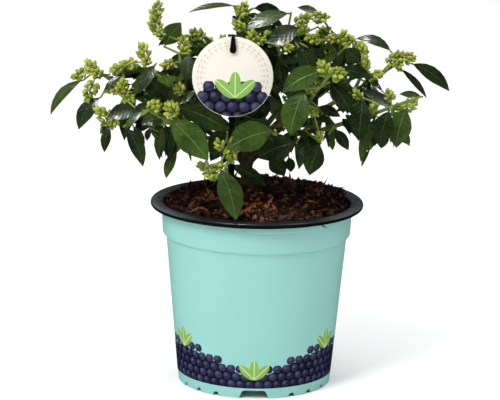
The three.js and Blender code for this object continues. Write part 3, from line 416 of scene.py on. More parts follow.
def dotted(finish, along, up, crest, columns, pitch, base):
    """Rows of navy dots that cover the ground below a crest line. Returns their cover and their colour.

    `along` is a share of the way round or across, and `up` is a height in millimetres. `crest` gives the
    height of the upper edge from a share along.
    """
    radius = pitch * 0.56
    rows = (up - base) / pitch
    row = rows.math("FLOOR")
    odd = row.math("MODULO", 2.0) * 0.5
    shifted = along * columns + odd
    column = shifted.math("FLOOR")
    across = (shifted - column - 0.5) * (pitch * 1.14)
    over = (rows - row - 0.5) * pitch
    away = (across * across + over * over).math("SQRT")
    middle = (column + 0.5 - odd) / columns
    whole = (row + 0.5) * pitch + base < crest(middle)
    packed = (up + pitch * 0.9) < crest(along)
    disc = away < radius
    cell = finish.node("CombineXYZ", None, (column, row, 0.0))
    chance = finish.node("TexWhiteNoise", {"noise_dimensions": "3D"}, (cell,), "Value")
    from_shine = ((across + pitch * 0.12) ** 2 + (over - pitch * 0.14) ** 2).math("SQRT")
    lit = 1 - from_shine.between(0, pitch * 0.4)
    crown = 1 - (away - pitch * 0.13).math("ABSOLUTE").between(0, pitch * 0.07)
    navy = finish.blend(chance * 0.3 + lit * 0.7 - crown * 0.22, NAVY, NAVY_LIGHT)
    colour = finish.blend(away.between(pitch * 0.44, radius), navy, NAVY_DEEP)
    return (whole * disc).math("MAXIMUM", packed) * (up > base), colour


def sprig(across, up, spread, length, slim):
    """Three leaf shapes that fan out from one foot: their cover, and the cover of their ribs."""
    cover, rib = None, None
    for turn in (-spread, 0, spread):
        lean = math.radians(turn)
        ahead = across * math.sin(lean) + up * math.cos(lean) - length / 2
        aside = across * math.cos(lean) - up * math.sin(lean)
        inside = (ahead / (length / 2)) ** 2 + (aside / slim) ** 2 < 1.0
        near = inside * (1 - aside.math("ABSOLUTE").between(0.1, 0.55))
        cover = inside if cover is None else cover.math("MAXIMUM", inside)
        rib = near if rib is None else rib.math("MAXIMUM", near)
    return cover, rib


def pot_finish():
    """Pale plastic printed with scallops of dots, and a sprig where each two of them meet."""
    finish = Finish("pot_mint_plastic", IOR=1.46, Specular_IOR_Level=0.35)
    here = finish.place()
    x, y, z = finish.split(here)
    turn = y.math("ARCTAN2", x) / (2 * math.pi) + 0.25

    def crest(share):
        wave = (share * (SPRIGS_ROUND / 2 * math.pi)).math("SINE").math("ABSOLUTE")
        return wave * POT_CREST["rise"] + POT_CREST["low"]

    cover, navy = dotted(finish, turn, z, crest, **POT_DOTS)
    part = turn * SPRIGS_ROUND + 0.5
    aside = part.math("FRACT") - 0.5
    nearest = part.math("FLOOR") / SPRIGS_ROUND
    leaves, rib = sprig(aside * SPRIG_WAY, z - crest(nearest) + SPRIG_SINK, **POT_SPRIG)
    print_colour = finish.blend(leaves, navy, finish.blend(rib, SPRIG, SPRIG_LIGHT))
    cloud = finish.speckle(34, here, 3.0)
    fine = finish.speckle(0.5, here, 2.0)
    plastic = finish.blend(cloud * 0.22, MINT, rgb(152, 204, 197))
    mask = cover.math("MAXIMUM", leaves)
    finish.put(Base_Color=finish.blend(mask, plastic, print_colour))
    finish.put(Roughness=0.36 + cloud * 0.12 - mask * 0.08, Coat_Weight=0.05)
    finish.bump(cloud * 0.6 + fine * 0.12, 0.16, 0.35)
    return finish.material


def black_plastic(name, dust, sheen_from=None):
    """Satin black plastic with dusty scuffs, and a painted grey sheen above a height."""
    finish = Finish(name, IOR=1.5, Specular_IOR_Level=0.36)
    here = finish.place()
    grime = finish.speckle(5, here, 5.0, 0.65)
    scuff = finish.speckle(0.7, here, 3.0)
    share = (grime * 0.6 + scuff * 0.4).between(0.56, 0.76) * dust
    colour = finish.blend(share, rgb(11, 11, 13), rgb(66, 62, 58))
    if sheen_from:
        x, _, height = finish.split(here)
        # Painted reflection: above the height the black turns grey, most at the left and right, as a sheen of
        # a pale surround.
        sides = x.math("ABSOLUTE").between(40, 76) * 0.8 + 0.12
        painted_sheen = height.between(sheen_from, sheen_from + 1.2) * (0.6 + grime * 0.5) * sides
        colour = finish.blend(painted_sheen, colour, rgb(92, 96, 101))
    finish.put(Base_Color=colour)
    finish.put(Roughness=0.2 + grime * 0.1 + share * 0.4)
    finish.bump(scuff * 0.7 + grime * 0.3, 0.08, 0.5)
    return finish.material


def soil_finish(name, dark, light, size, rough=0.95):
    finish = Finish(name, IOR=1.4)
    here = finish.place()
    coarse = finish.speckle(size, here, 6.0, 0.7)
    fine = finish.speckle(size / 5, here, 4.0, 0.6)
    finish.put(Base_Color=finish.blend((coarse * 0.7 + fine * 0.5).between(0.42, 0.82), dark, light))
    finish.put(Roughness=rough - fine * 0.12)
    finish.bump(coarse * 0.5 + fine * 0.5, 0.8, 0.9)
    return finish.material


def bark_finish():
    finish = Finish("bark_brown", IOR=1.4)
    here = finish.place()
    x, y, z = finish.split(here)
    drawn = finish.node("CombineXYZ", None, (x, y, z * 0.22))
    ridge = finish.speckle(1.7, drawn, 5.0, 0.65)
    patch = finish.speckle(9, here, 3.0)
    young = z.between(196, 228)
    old = finish.blend((ridge * 0.8 + patch * 0.3).between(0.35, 0.75), rgb(24, 16, 11), rgb(80, 60, 41))
    green = finish.blend(ridge, rgb(84, 92, 38), rgb(130, 132, 62))
    finish.put(Base_Color=finish.blend(young * 0.75, old, green))
    finish.put(Roughness=0.78 + ridge * 0.15)
    finish.bump(ridge * 0.8 + patch * 0.2, 0.5, 0.8)
    return finish.material


def stem_finish(name, dark, light):
    finish = Finish(name, IOR=1.42)
    here = finish.place()
    blotch = finish.speckle(7, here, 3.0)
    fine = finish.speckle(0.8, here, 2.0)
    finish.put(Base_Color=finish.blend((blotch * 0.8 + fine * 0.2).between(0.3, 0.7), dark, light))
    finish.put(Roughness=0.42 + blotch * 0.2)
    finish.bump(fine, 0.1, 0.5)
    return finish.material


def leaf_finish(name, dark, light, vein, gloss, coat):
    """A leaf's face: its colour clouds over, and its ribs and side veins are paler and sunken."""
    finish = Finish(name, IOR=1.45, Coat_Roughness=0.16)
    across, along, _ = finish.split(finish.node("UVMap", {"uv_map": "leaf"}))
    here = finish.place()
    side = (across - 0.5).math("ABSOLUTE") * 2
    rib = 1 - side.between(0.01, 0.06)
    comb = ((along * 7 - side * 1.5).math("FRACT") - 0.5).math("ABSOLUTE") * 2
    veins = comb.between(0.82, 1.0) * (1 - side.between(0.6, 0.98))
    quilt = finish.speckle(2.6, here, 3.0)
    cloud = finish.speckle(16, here, 3.0)
    ground = finish.blend((cloud * 0.8 + quilt * 0.25).between(0.3, 0.78), dark, light)
    pale = rib.math("MAXIMUM", veins * 0.36)
    finish.put(Base_Color=finish.blend(pale * 0.6, ground, vein))
    finish.put(Roughness=gloss + quilt * 0.12 + rib * 0.06, Coat_Weight=coat)
    relief = quilt * 0.5 + comb * 0.25 - rib * 0.5 - veins * 0.3
    finish.bump(relief, 0.45, 0.55)
    return finish.material


def bud_finish(name, dark, light):
    finish = Finish(name, IOR=1.42, Coat_Roughness=0.25)
    here = finish.place()
    blush = finish.speckle(3.2, here, 2.0)
    fine = finish.speckle(0.6, here, 2.0)
    finish.put(Base_Color=finish.blend(blush.between(0.34, 0.66), dark, light))
    finish.put(Roughness=0.36 + fine * 0.16, Coat_Weight=0.15)
    finish.bump(fine, 0.12, 0.4)
    return finish.material


def tag_finish():
    """Cream card with a faint beige ring, and a dotted lower part with a sprig."""
    finish = Finish("tag_cream_card", IOR=1.46)
    here = finish.place()
    x, y, z = finish.split(here)
    across = x - float(TAG_AT[0])
    up = z - float(TAG_AT[2])
    away = (across * across + up * up).math("SQRT")
    turn = up.math("ARCTAN2", across)
    ring = away.between(*TAG_RING["inner"]) * (1 - away.between(*TAG_RING["outer"]))
    spokes = (turn * TAG_RING["spokes"]).math("SINE") * 0.5 + 0.5
    rounds = (away * TAG_RING["rounds"]).math("SINE") * 0.5 + 0.5

    def crest(share):
        aside = (share * TAG_PRINT["width"]).math("ABSOLUTE")
        drop = (aside - TAG_CREST["shoulder"]).math("MAXIMUM", 0.0) * TAG_CREST["fall"]
        return aside * TAG_CREST["slope"] + TAG_CREST["middle"] - drop

    cover, navy = dotted(finish, (across + 0.01) / TAG_PRINT["width"], up, crest, **TAG_DOTS)
    leaves, rib = sprig(across - TAG_SPRIG_FOOT[0], up - TAG_SPRIG_FOOT[1], **TAG_SPRIG)
    art = finish.blend(leaves, navy, finish.blend(rib, SPRIG, SPRIG_LIGHT))
    front = y < float(TAG_AT[1])
    inside = 1 - away.between(*TAG_PRINT["edge"])
    mask = cover.math("MAXIMUM", leaves) * front * inside
    card = finish.blend(ring * (spokes * rounds) * TAG_RING["share"], CREAM, BEIGE)
    finish.put(Base_Color=finish.blend(mask, card, art))
    grain = finish.speckle(0.4, here, 2.0)
    finish.put(Roughness=0.38 + grain * 0.14, Coat_Weight=0.1, Coat_Roughness=0.2)
    finish.bump(grain, 0.05, 0.4)
    return finish.material


# ---------- Pieces shaped by hand ----------

def deselect():
    if bpy.context.object and bpy.context.object.mode != "OBJECT":
        bpy.ops.object.mode_set(mode="OBJECT")
    bpy.ops.object.select_all(action="DESELECT")


def settle(name):
    """Names the active object, puts its place into its mesh, and lets it ride."""
    piece = bpy.context.object
    piece.name = name
    piece.data.name = name
    bpy.ops.object.transform_apply(location=True, rotation=True, scale=True)
    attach(piece, "root")
    return piece


def dress(piece, finish, node):
    """Gives a piece its finish and its slot, and lets it stand for a node."""
    piece.data.materials.clear()
    piece.data.materials.append(finish)
    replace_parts(piece, node)


def pick(*pieces):
    """Selects pieces and nothing else, the first one active."""
    deselect()
    for piece in pieces:
        piece.select_set(True)
    bpy.context.view_layer.objects.active = pieces[0]


def smooth(piece, angle):
    pick(piece)
    bpy.ops.object.shade_smooth_by_angle(angle=math.radians(angle))


def edged(piece, width):
    """Rounds the sharp edges of a piece a little."""
    pick(piece)
    bevel = piece.modifiers.new("edge", "BEVEL")
    bevel.width = width * MM
    bevel.segments = 2
    bevel.limit_method = "ANGLE"
    bpy.ops.object.modifier_apply(modifier=bevel.name)


def turned(name, profile, segments=144):
    """A round piece: a ring that is extruded and resized from each station of its profile to the next."""
    deselect()
    radius, height = profile[0]
    bpy.ops.mesh.primitive_circle_add(vertices=segments, radius=radius * MM, location=(0, 0, height * MM))
    bpy.ops.object.mode_set(mode="EDIT")
    bpy.ops.mesh.select_all(action="SELECT")
    for (was, low), (now, high) in zip(profile, profile[1:]):
        bpy.ops.mesh.extrude_edges_move(TRANSFORM_OT_translate={"value": (0, 0, (high - low) * MM)})
        factor = now / was
        bpy.ops.transform.resize(value=(factor, factor, 1), center_override=(0, 0, high * MM))
    bpy.ops.mesh.select_all(action="SELECT")
    bpy.ops.mesh.remove_doubles(threshold=0.00001)
    bpy.ops.mesh.select_all(action="SELECT")
    bpy.ops.mesh.fill_holes(sides=segments)
    bpy.ops.mesh.select_all(action="SELECT")
    bpy.ops.mesh.normals_make_consistent(inside=False)
    bpy.ops.object.mode_set(mode="OBJECT")
    return settle(name)


def arc(centre, radius, start, end, steps):
    """Profile points on an arc, angles in degrees from the outward direction."""
    turns = [math.radians(start + (end - start) * k / steps) for k in range(steps + 1)]
    return [(centre[0] + radius * math.cos(a), centre[1] + radius * math.sin(a)) for a in turns]


def cut(piece, cutter):
    """Takes a cutter out of a piece and removes the cutter."""
    pick(piece)
    made = piece.modifiers.new("cut", "BOOLEAN")
    made.operation = "DIFFERENCE"
    made.solver = "EXACT"
    made.object = cutter
    bpy.ops.object.modifier_apply(modifier=made.name)
    bpy.data.objects.remove(cutter, do_unlink=True)


def joined(parts):
    pick(*parts)
    bpy.ops.object.join()
    return bpy.context.object


def foot_bar(sizes, angle):
    """A bar that cuts a notch into the foot: wider below, and round along its two upper edges."""
    deselect()
    bpy.ops.mesh.primitive_cube_add(size=1)
    bar = bpy.context.object
    below = CUTTER["below"]
    deep = sizes["height"] + below
    bar.scale = (CUTTER["length"] * MM, sizes["width"] * MM, deep * MM)
    bar.location = (POT_FOOT * MM, 0, (deep / 2 - below) * MM)
    bpy.ops.object.transform_apply(location=True, rotation=True, scale=True)
    bar.select_set(True)
    bpy.ops.object.mode_set(mode="EDIT")
    bpy.ops.mesh.select_all(action="DESELECT")
    bpy.ops.object.mode_set(mode="OBJECT")
    for face in bar.data.polygons:
        face.select = face.normal.z < -0.9
    bpy.ops.object.mode_set(mode="EDIT")
    wider = 1 + 2 * sizes["flare"] / sizes["width"]
    bpy.ops.transform.resize(value=(1, wider, 1), center_override=(POT_FOOT * MM, 0, -below * MM))
    bpy.ops.mesh.select_all(action="DESELECT")
    bpy.ops.object.mode_set(mode="OBJECT")
    for edge in bar.data.edges:
        first, second = [bar.data.vertices[k].co for k in edge.vertices]
        high = min(first.z, second.z) > 0.9 * sizes["height"] * MM
        edge.select = high and abs((second - first).normalized().x) > 0.9
    bpy.ops.object.mode_set(mode="EDIT")
    bpy.ops.mesh.bevel(offset=sizes["corner"] * MM, segments=5)
    bpy.ops.object.mode_set(mode="OBJECT")
    bar.rotation_euler = (0, 0, math.radians(angle))
    bpy.ops.object.transform_apply(location=True, rotation=True, scale=True)
    return bar


def round_point(out, turn, z):
    """A point at a distance and an angle from the pot's axis, and a height."""
    return np.array((out * math.cos(turn), out * math.sin(turn), z))


def foot_cutter():
    """The four wide gaps and the small notches of the foot ring, and the drain holes."""
    parts = []
    for quarter in range(4):
        parts.append(foot_bar(FOOT_GAP, 90 * quarter))
        parts += [foot_bar(NOTCH, 90 * quarter + angle) for angle in NOTCH_ANGLES]
    for k in range(DRAIN["count"]):
        deselect()
        turn = math.radians((k + 0.5) * 360 / DRAIN["count"])
        bpy.ops.mesh.primitive_cylinder_add(
            vertices=24, radius=DRAIN["radius"] * MM, depth=20 * MM,
            location=round_point(DRAIN["circle"], turn, POT_FLOOR["underside"]) * MM)
        parts.append(bpy.context.object)
    return joined(parts)


def make_pot(finish):
    """The pot's wall, collar, ring line and foot, with its gaps and holes cut out."""
    top_radius, top_height = POT_TOP
    collar, collar_height = COLLAR
    ring, groove = RING_LINE["height"], COLLAR_TOP - RING_LINE["step"]
    underside = POT_FLOOR["underside"]
    floor = underside + POT_FLOOR["thickness"]
    slope = (top_radius - POT_FOOT) / top_height
    inside = POT_FOOT - POT_WALL
    profile = [
        (0.5, 0),
        (BOSS["radius"], 0),
        (BOSS["radius"] + BOSS["draft"], underside),
        (inside, underside),
        (inside, 0.3),
        (inside + 0.3, 0),
        (POT_FOOT - 0.4, 0),
        (POT_FOOT + 0.02, 0.4),
        (top_radius - 0.05, top_height - 0.8),
        (top_radius + 0.25, top_height + 0.3),
        (collar - 0.35, collar_height - 0.6),
        (collar, collar_height + 0.3),
        (groove - 0.02, ring - 0.5),
        (groove + 0.05, ring),
        (COLLAR_TOP - 0.05, ring + 0.4),
        (COLLAR_TOP, ring + 0.9),
        (COLLAR_TOP, POT_HEIGHT - 0.3),
        (COLLAR_TOP - 0.3, POT_HEIGHT),
        (COLLAR_TOP - POT_WALL, POT_HEIGHT),
        (collar - POT_WALL, collar_height + POT_WALL),
        (top_radius - POT_WALL, top_height + POT_WALL / 2),
        (inside + slope * floor, floor),
        (0.5, floor),
    ]
    piece = turned("pot_body", profile)
    cut(piece, foot_cutter())
    smooth(piece, 28)
    dress(piece, finish, "pot")


def liner_inside(z):
    """The liner's inner radius at a height."""
    return RIM_INNER - LINER - LINER_TAPER * (POT_HEIGHT - z)


def make_rim(finish):
    """The black liner whose top rolls out over the pot's edge."""
    seat = POT_HEIGHT + GAP
    bottom = liner_inside(LINER_BOTTOM)
    lip = arc((RIM_RADIUS - LIP["radius"], LIP["height"]), LIP["radius"], 70, -80, 9)
    profile = [
        (bottom + LINER, LINER_BOTTOM),
        (liner_inside(seat) + LINER, seat),
        (RIM_RADIUS - 5.2, seat),
        (RIM_RADIUS - 4.2, seat - 0.5),
        (RIM_RADIUS - 3.4, RIM_HEIGHT - 5.0),
        *reversed(lip),
        (RIM_RADIUS - 3.6, RIM_HEIGHT - 0.02),
        (RIM_RADIUS - 6, RIM_HEIGHT - 0.1),
        (RIM_RADIUS - 8.2, RIM_HEIGHT - 0.7),
        (RIM_INNER + 1, RIM_HEIGHT - 1.6),
        (liner_inside(seat) + 0.25, seat + 1.1),
        (liner_inside(seat) - 0.1, seat - 1),
        (bottom, LINER_BOTTOM),
        (bottom + LINER, LINER_BOTTOM),
    ]
    piece = turned("rim_black", profile, 160)
    smooth(piece, 50)
    dress(piece, finish, "pot_rim")


def make_tag(finish):
    """A thin round card."""
    deselect()
    bpy.ops.mesh.primitive_cylinder_add(
        vertices=128, radius=TAG_RADIUS * MM, depth=TAG_THICKNESS * MM,
        location=TAG_AT * MM, rotation=(math.pi / 2, 0, 0))
    piece = settle("tag_card")
    edged(piece, 0.22)
    smooth(piece, 40)
    dress(piece, finish, "plant_tag")


def tapered_bar(stations):
    """A square bar through level stations of (width, depth, y, z), all in line with the tag's middle."""
    deselect()
    width, depth, y, z = stations[0]
    bpy.ops.mesh.primitive_plane_add(size=1, location=(TAG_AT[0] * MM, y * MM, z * MM))
    bar = bpy.context.object
    bar.scale = (width * MM, depth * MM, 1)
    bpy.ops.object.transform_apply(location=True, rotation=True, scale=True)
    bpy.ops.object.mode_set(mode="EDIT")
    bpy.ops.mesh.select_all(action="SELECT")
    for (w0, d0, y0, z0), (w1, d1, y1, z1) in zip(stations, stations[1:]):
        move = (0, (y1 - y0) * MM, (z1 - z0) * MM)
        bpy.ops.mesh.extrude_region_move(TRANSFORM_OT_translate={"value": move})
        middle = (TAG_AT[0] * MM, y1 * MM, z1 * MM)
        bpy.ops.transform.resize(value=(w1 / w0, d1 / d0, 1), center_override=middle)
    bpy.ops.mesh.select_all(action="SELECT")
    bpy.ops.mesh.normals_make_consistent(inside=False)
    bpy.ops.object.mode_set(mode="OBJECT")
    return bar


def make_stick(finish):
    """The tag's stick, with the peg that grips the card from the front."""
    width, depth = STICK["width"], STICK["thickness"]
    top = TAG_AT[2] + TAG_RADIUS + STICK["over"]
    peg_line = TAG_AT[1] - TAG_THICKNESS / 2 - GAP - depth / 2
    shaft = tapered_bar([
        (0.5, 0.4, STICK_LINE, STICK["bottom"]),
        (width, depth, STICK_LINE, STICK["bottom"] + 14),
        (width, depth, STICK_LINE, top - 4),
        (PEG["top"], depth, STICK_LINE, top - 2),
        (PEG["top"] * 0.8, depth * 0.8, STICK_LINE, top),
    ])
    peg = tapered_bar([
        (PEG["bottom"] * 0.5, depth * 0.7, peg_line, top - PEG["length"]),
        (PEG["bottom"] * 0.92, depth, peg_line, top - PEG["length"] + 1.2),
        (PEG["bottom"], depth, peg_line, top - PEG["length"] + 2.6),
        (PEG["top"], depth, peg_line, top - 1),
        (PEG["top"] * 0.8, depth * 0.8, peg_line, top),
    ])
    reach = depth * 2 + TAG_THICKNESS
    bridge = tapered_bar([
        (PEG["top"], reach, TAG_AT[1], top - STICK["over"] + GAP),
        (PEG["top"], reach, TAG_AT[1], top - 0.2),
    ])
    joined([shaft, peg, bridge])
    piece = settle("tag_stick_black")
    edged(piece, 0.3)
    smooth(piece, 40)
    dress(piece, finish, "tag_stick")


# ---------- Pieces made from arrays ----------

def mesh_piece(name, points, faces, finishes, face_finish=None, uv=None, sharp=40):
    """A piece from points in millimetres and faces, with one finish for each face."""
    mesh = bpy.data.meshes.new(name)
    mesh.from_pydata(np.asarray(points, dtype=float) * MM, [], faces)
    for finish in finishes:
        mesh.materials.append(finish)
    if face_finish is not None:
        mesh.polygons.foreach_set("material_index", np.asarray(face_finish, dtype=np.int32))
    if uv is not None:
        layer = mesh.uv_layers.new(name="leaf")
        corners = np.empty(len(mesh.loops), dtype=np.int32)
        mesh.loops.foreach_get("vertex_index", corners)
        layer.data.foreach_set("uv", np.asarray(uv, dtype=np.float32)[corners].ravel())
    mesh.polygons.foreach_set("use_smooth", np.ones(len(mesh.polygons), dtype=bool))
    mesh.set_sharp_from_angle(angle=math.radians(sharp))
    mesh.update()
    piece = bpy.data.objects.new(name, mesh)
    bpy.context.scene.collection.objects.link(piece)
    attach(piece, "root")
    return piece


class Heap:
    """Points and faces of many small shapes that become one mesh."""

    def __init__(self):
        self.points = []
        self.faces = []
        self.kinds = []
        self.uv = []
        self.count = 0

    def add(self, points, faces, kind=0, uv=None):
        first = self.count
        self.points.append(np.asarray(points, dtype=float))
        self.faces.extend([tuple(first + k for k in face) for face in faces])
        kinds = kind if isinstance(kind, list) else [kind] * len(faces)
        self.kinds.extend(kinds)
        if uv is not None:
            self.uv.append(uv)
        self.count += len(points)

    def piece(self, name, finishes, slot, sharp=40):
        points = np.concatenate(self.points)
        uv = np.concatenate(self.uv) if self.uv else None
        return mesh_piece(name, points, self.faces, finishes, self.kinds, uv, sharp)


def span(vector):
    """The length of a vector."""
    return math.sqrt(float(vector @ vector))


def unit(vector):
    return vector / span(vector)


def square_to(direction):
    """Two unit vectors square to a direction."""
    level = np.array((1.0, 0, 0)) if abs(direction[2]) > 0.98 else UP
    across = unit(np.cross(direction, level))
    return across, np.cross(direction, across)


def draw(seed, n, low, high):
    """The n-th draw of a seed, between low and high, the same on every run."""
    wave = math.sin(seed * HASH[0] + n * HASH[1]) * HASH[2]
    return low + (high - low) * (wave - math.floor(wave))


def toward(heading, rise):
    """The direction of a heading and a rise in degrees."""
    a, e = math.radians(heading), math.radians(rise)
    return np.array((math.cos(a) * math.cos(e), math.sin(a) * math.cos(e), math.sin(e)))


def outward(across, over, turn):
    """The direction at an angle between two directions that are square to each other."""
    return across * math.cos(turn) + over * math.sin(turn)


def tube(centres, directions, radii, sides, relief=None):
    """Points and faces of a closed round bar; relief(ring, angle) swells or sinks its surface."""
    rings = []
    for k, (centre, direction, radius) in enumerate(zip(centres, directions, radii)):
        across, over = square_to(direction)
        for i in range(sides):
            turn = 2 * math.pi * i / sides
            swell = 1 if relief is None else relief(k, turn)
            rings.append(centre + outward(across, over, turn) * radius * swell)
    faces = []
    for k in range(len(centres) - 1):
        for i in range(sides):
            j = (i + 1) % sides
            faces.append((k * sides + i, k * sides + j, (k + 1) * sides + j, (k + 1) * sides + i))
    last = (len(centres) - 1) * sides
    faces.append(tuple(reversed(range(sides))))
    faces.append(tuple(range(last, last + sides)))
    return np.array(rings), faces


# ---------- Trunk and boughs ----------

def soil_height(radius):
    """The height of the soil's mound at distances from the pot's axis."""
    share = np.minimum(1.0, radius / liner_inside(SOIL_EDGE))
    return SOIL_EDGE + (SOIL_CROWN - SOIL_EDGE) * (1 - share ** 2.4)


def shares_in(steps):
    """Even steps from 0 to 1."""
    return [k / steps for k in range(steps + 1)]


def trunk_point(t):
    return TRUNK_FOOT + (TRUNK_FORK - TRUNK_FOOT) * t


def bough_radius(t):
    return BOUGH["start"] + (BOUGH["end"] - BOUGH["start"]) * t


def bezier(start, bend, end, t):
    return start * (1 - t) ** 2 + bend * (2 * t * (1 - t)) + end * t ** 2


def bezier_way(start, bend, end, t):
    return unit((bend - start) * (1 - t) + (end - bend) * t)


def bough_curve(mass, order):
    """Start, bend and end of the bough that leads to a mass."""
    heart = np.array(mass.heart, dtype=float)
    start = trunk_point(draw(order, 1, *BOUGH_START))
    end = heart - unit(heart - start) * mass.stem
    end[2] += BOUGH["arch"]
    bend = start + (end - start) * BOUGH["bend"]
    bend[2] += BOUGH["climb"] * (heart[2] - start[2]) + BOUGH["arch"]
    return start, bend, end


NAMES = list(MASSES)
CURVES = [bough_curve(MASSES[name], k) for k, name in enumerate(NAMES)]
HEARTS = np.array([MASSES[name].heart for name in NAMES], dtype=float)


def make_limbs(finish):
    """The trunk, a bundle of stems grown together, and the boughs, with the bark's relief."""
    heap = Heap()
    shares = shares_in(TRUNK_MESH["steps"])
    radii = list(np.interp(shares, *zip(*TRUNK_STEPS)))
    centres = [trunk_point(t) for t in shares]

    def bundle(ring, turn):
        lobes = RELIEF["lobes"] * math.cos(3 * turn + ring * 0.09)
        at = Vector((math.cos(turn) * 3, math.sin(turn) * 3, ring * 0.16))
        return 0.97 + lobes + RELIEF["trunk"] * noise.noise(at)

    heap.add(*tube(centres, [UP] * len(centres), radii, TRUNK_MESH["sides"], bundle))
    trunk = heap.piece("trunk_bark", [finish], "bark")
    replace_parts(trunk, "trunk")
    heap = Heap()
    for k, curve in enumerate(CURVES):
        shares = shares_in(BOUGH_MESH["steps"])
        centres = [bezier(*curve, t) for t in shares]
        ways = [bezier_way(*curve, t) for t in shares]
        radii = [bough_radius(t) for t in shares]

        def grain(ring, turn, k=k):
            at = Vector((math.cos(turn) * 2, math.sin(turn) * 2 + k * 9, ring * 0.45))
            return 1 + RELIEF["bough"] * noise.noise(at)

        heap.add(*tube(centres, ways, radii, BOUGH_MESH["sides"], grain))
    boughs = heap.piece("boughs_bark", [finish], "bark")
    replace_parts(boughs, *[f"bough_{name}" for name in NAMES])


# ---------- How foliage grows ----------

Bar = namedtuple("Bar", "start direction length seed lead")
Leaf = namedtuple("Leaf", "root heading rise length width droop roll fold tone")
Bud = namedtuple("Bud", "root middle way seed size")


class Growth:
    """What has grown in one mass."""

    def __init__(self, stem, shoots):
        self.stem = stem
        self.shoots = shoots
        self.twigs = []
        self.leaves = []
        self.buds = []
        self.flats = np.zeros((0, 3, 3))
        self.lines = np.zeros((0, 2, 3))


def stem_of(own):
    start, bend, end = CURVES[own]
    lead = bezier_way(start, bend, end, 1.0)
    foot = end + lead * GAP
    run = HEARTS[own] - foot
    return Bar(foot, unit(run), span(run), MASSES[NAMES[own]].seed + 0.7, lead)


def limb_bars():
    """What foliage keeps clear of: starts, ends and radii of round bars, and the mass whose stem one is."""
    bars = []
    steps = shares_in(BOUGH["steps"])
    lines = [[(trunk_point(t), r) for t, r in TRUNK_STEPS]]
    lines += [[(bezier(*curve, t), bough_radius(t)) for t in steps] for curve in CURVES]
    for line in lines:
        bars += [(a, b, max(r, s), -1) for (a, r), (b, s) in zip(line, line[1:])]
    foot = np.array((TAG_AT[0], STICK_LINE, STICK["bottom"]))
    bars.append((foot, np.array((TAG_AT[0], STICK_LINE, TAG_AT[2])), STICK["width"] / 2 + GAP, -1))
    bars += [(stem_of(own).start, HEARTS[own], TWIG["stem"], own) for own in range(len(NAMES))]
    return bars


LIMBS = limb_bars()
LIMB_FROM = np.array([bar[0] for bar in LIMBS])
LIMB_RUN = np.array([bar[1] - bar[0] for bar in LIMBS])
LIMB_RADIUS = np.array([bar[2] for bar in LIMBS])
LIMB_MASS = np.array([bar[3] for bar in LIMBS])


def fits(points, own, limb_gap=LIMB_GAP):
    """Whether points of a mass keep to the mass's own space and clear of limbs, tag, soil and rim."""
    points = np.atleast_2d(points)
    apart = ((points[:, None] - HEARTS[None]) ** 2).sum(2)
    to_plane = apart - apart[:, own:own + 1]
    reach = 2 * np.sqrt(((HEARTS - HEARTS[own]) ** 2).sum(1))
    others = np.arange(len(HEARTS)) != own
    if not (to_plane[:, others] / reach[others] > SPACE_GAP).all():
        return False
    out = np.hypot(points[:, 0], points[:, 1])
    soil = soil_height(out) + SOIL_GAP
    over = np.where(out > RIM_GAP["from"], RIM_HEIGHT + RIM_GAP["over"], 0)
    if ((out < RIM_RADIUS + RIM_GAP["out"]) & (points[:, 2] < np.maximum(soil, over))).any():
        return False
    ahead = points[:, 1] - TAG_AT[1]
    rise = points[:, 2] + TAG_ROOM["climb"] * ahead - TAG_AT[2]
    near = np.hypot(points[:, 0] - TAG_AT[0], rise) < TAG_RADIUS + TAG_ROOM["round"]
    if ((ahead < TAG_ROOM["behind"]) & near).any():
        return False
    away = points[:, None] - LIMB_FROM[None]
    share = np.clip((away * LIMB_RUN).sum(2) / (LIMB_RUN ** 2).sum(1), 0, 1)
    gap = np.sqrt(((away - share[:, :, None] * LIMB_RUN) ** 2).sum(2))
    return bool(((gap > LIMB_RADIUS + limb_gap) | (LIMB_MASS == own)).all())


def leaf_outline(t):
    """Half the breadth of a blade, as a share of the leaf's width."""
    return 0.5 * np.sin(np.pi * t ** 0.9) ** 0.8


def leaf_frame(leaf, t):
    """Midrib points, across, normal and along directions at shares of a leaf's length."""
    now = leaf.rise - leaf.droop * t
    ahead = np.array((math.cos(leaf.heading), math.sin(leaf.heading), 0))
    scale = leaf.length / leaf.droop
    level = (math.sin(leaf.rise) - np.sin(now)) * scale
    height = (np.cos(now) - math.cos(leaf.rise)) * scale
    rib = leaf.root + level[:, None] * ahead + height[:, None] * UP
    along = np.cos(now)[:, None] * ahead + np.sin(now)[:, None] * UP
    flat = np.array((ahead[1], -ahead[0], 0)) + 0 * along
    over = np.cross(along, flat)
    across = flat * math.cos(leaf.roll) + over * math.sin(leaf.roll)
    normal = np.cross(across, along)
    return rib, across, normal, along


def leaf_rows(leaf, t):
    """Right edge, midrib and left edge of a leaf at shares of its length."""
    rib, across, normal, _ = leaf_frame(leaf, t)
    half = leaf.width * leaf_outline(t)[:, None]
    lift = normal * math.sin(leaf.fold) * half
    aside = across * math.cos(leaf.fold) * half
    return np.stack((rib + aside + lift, rib, rib - aside + lift), axis=1)


def leaf_points(leaf):
    return leaf_rows(leaf, TEST_STATIONS).reshape(-1, 3)


def blade_of(leaf):
    """A leaf's blade as lines that run to its tip, and as flat triangles."""
    rows = leaf_rows(leaf, BLADE_STATIONS)
    tip = leaf_frame(leaf, np.array((1.0,)))[0]
    rows = np.concatenate((rows, np.repeat(tip[None], 3, axis=1)))
    lines, flats = [], []
    for near, far in zip(rows, rows[1:]):
        lines += [(near[i], far[i]) for i in range(3)]
        for i in range(2):
            flats += [(near[i], near[i + 1], far[i]), (near[i + 1], far[i], far[i + 1])]
    return np.array(lines), np.array(flats)


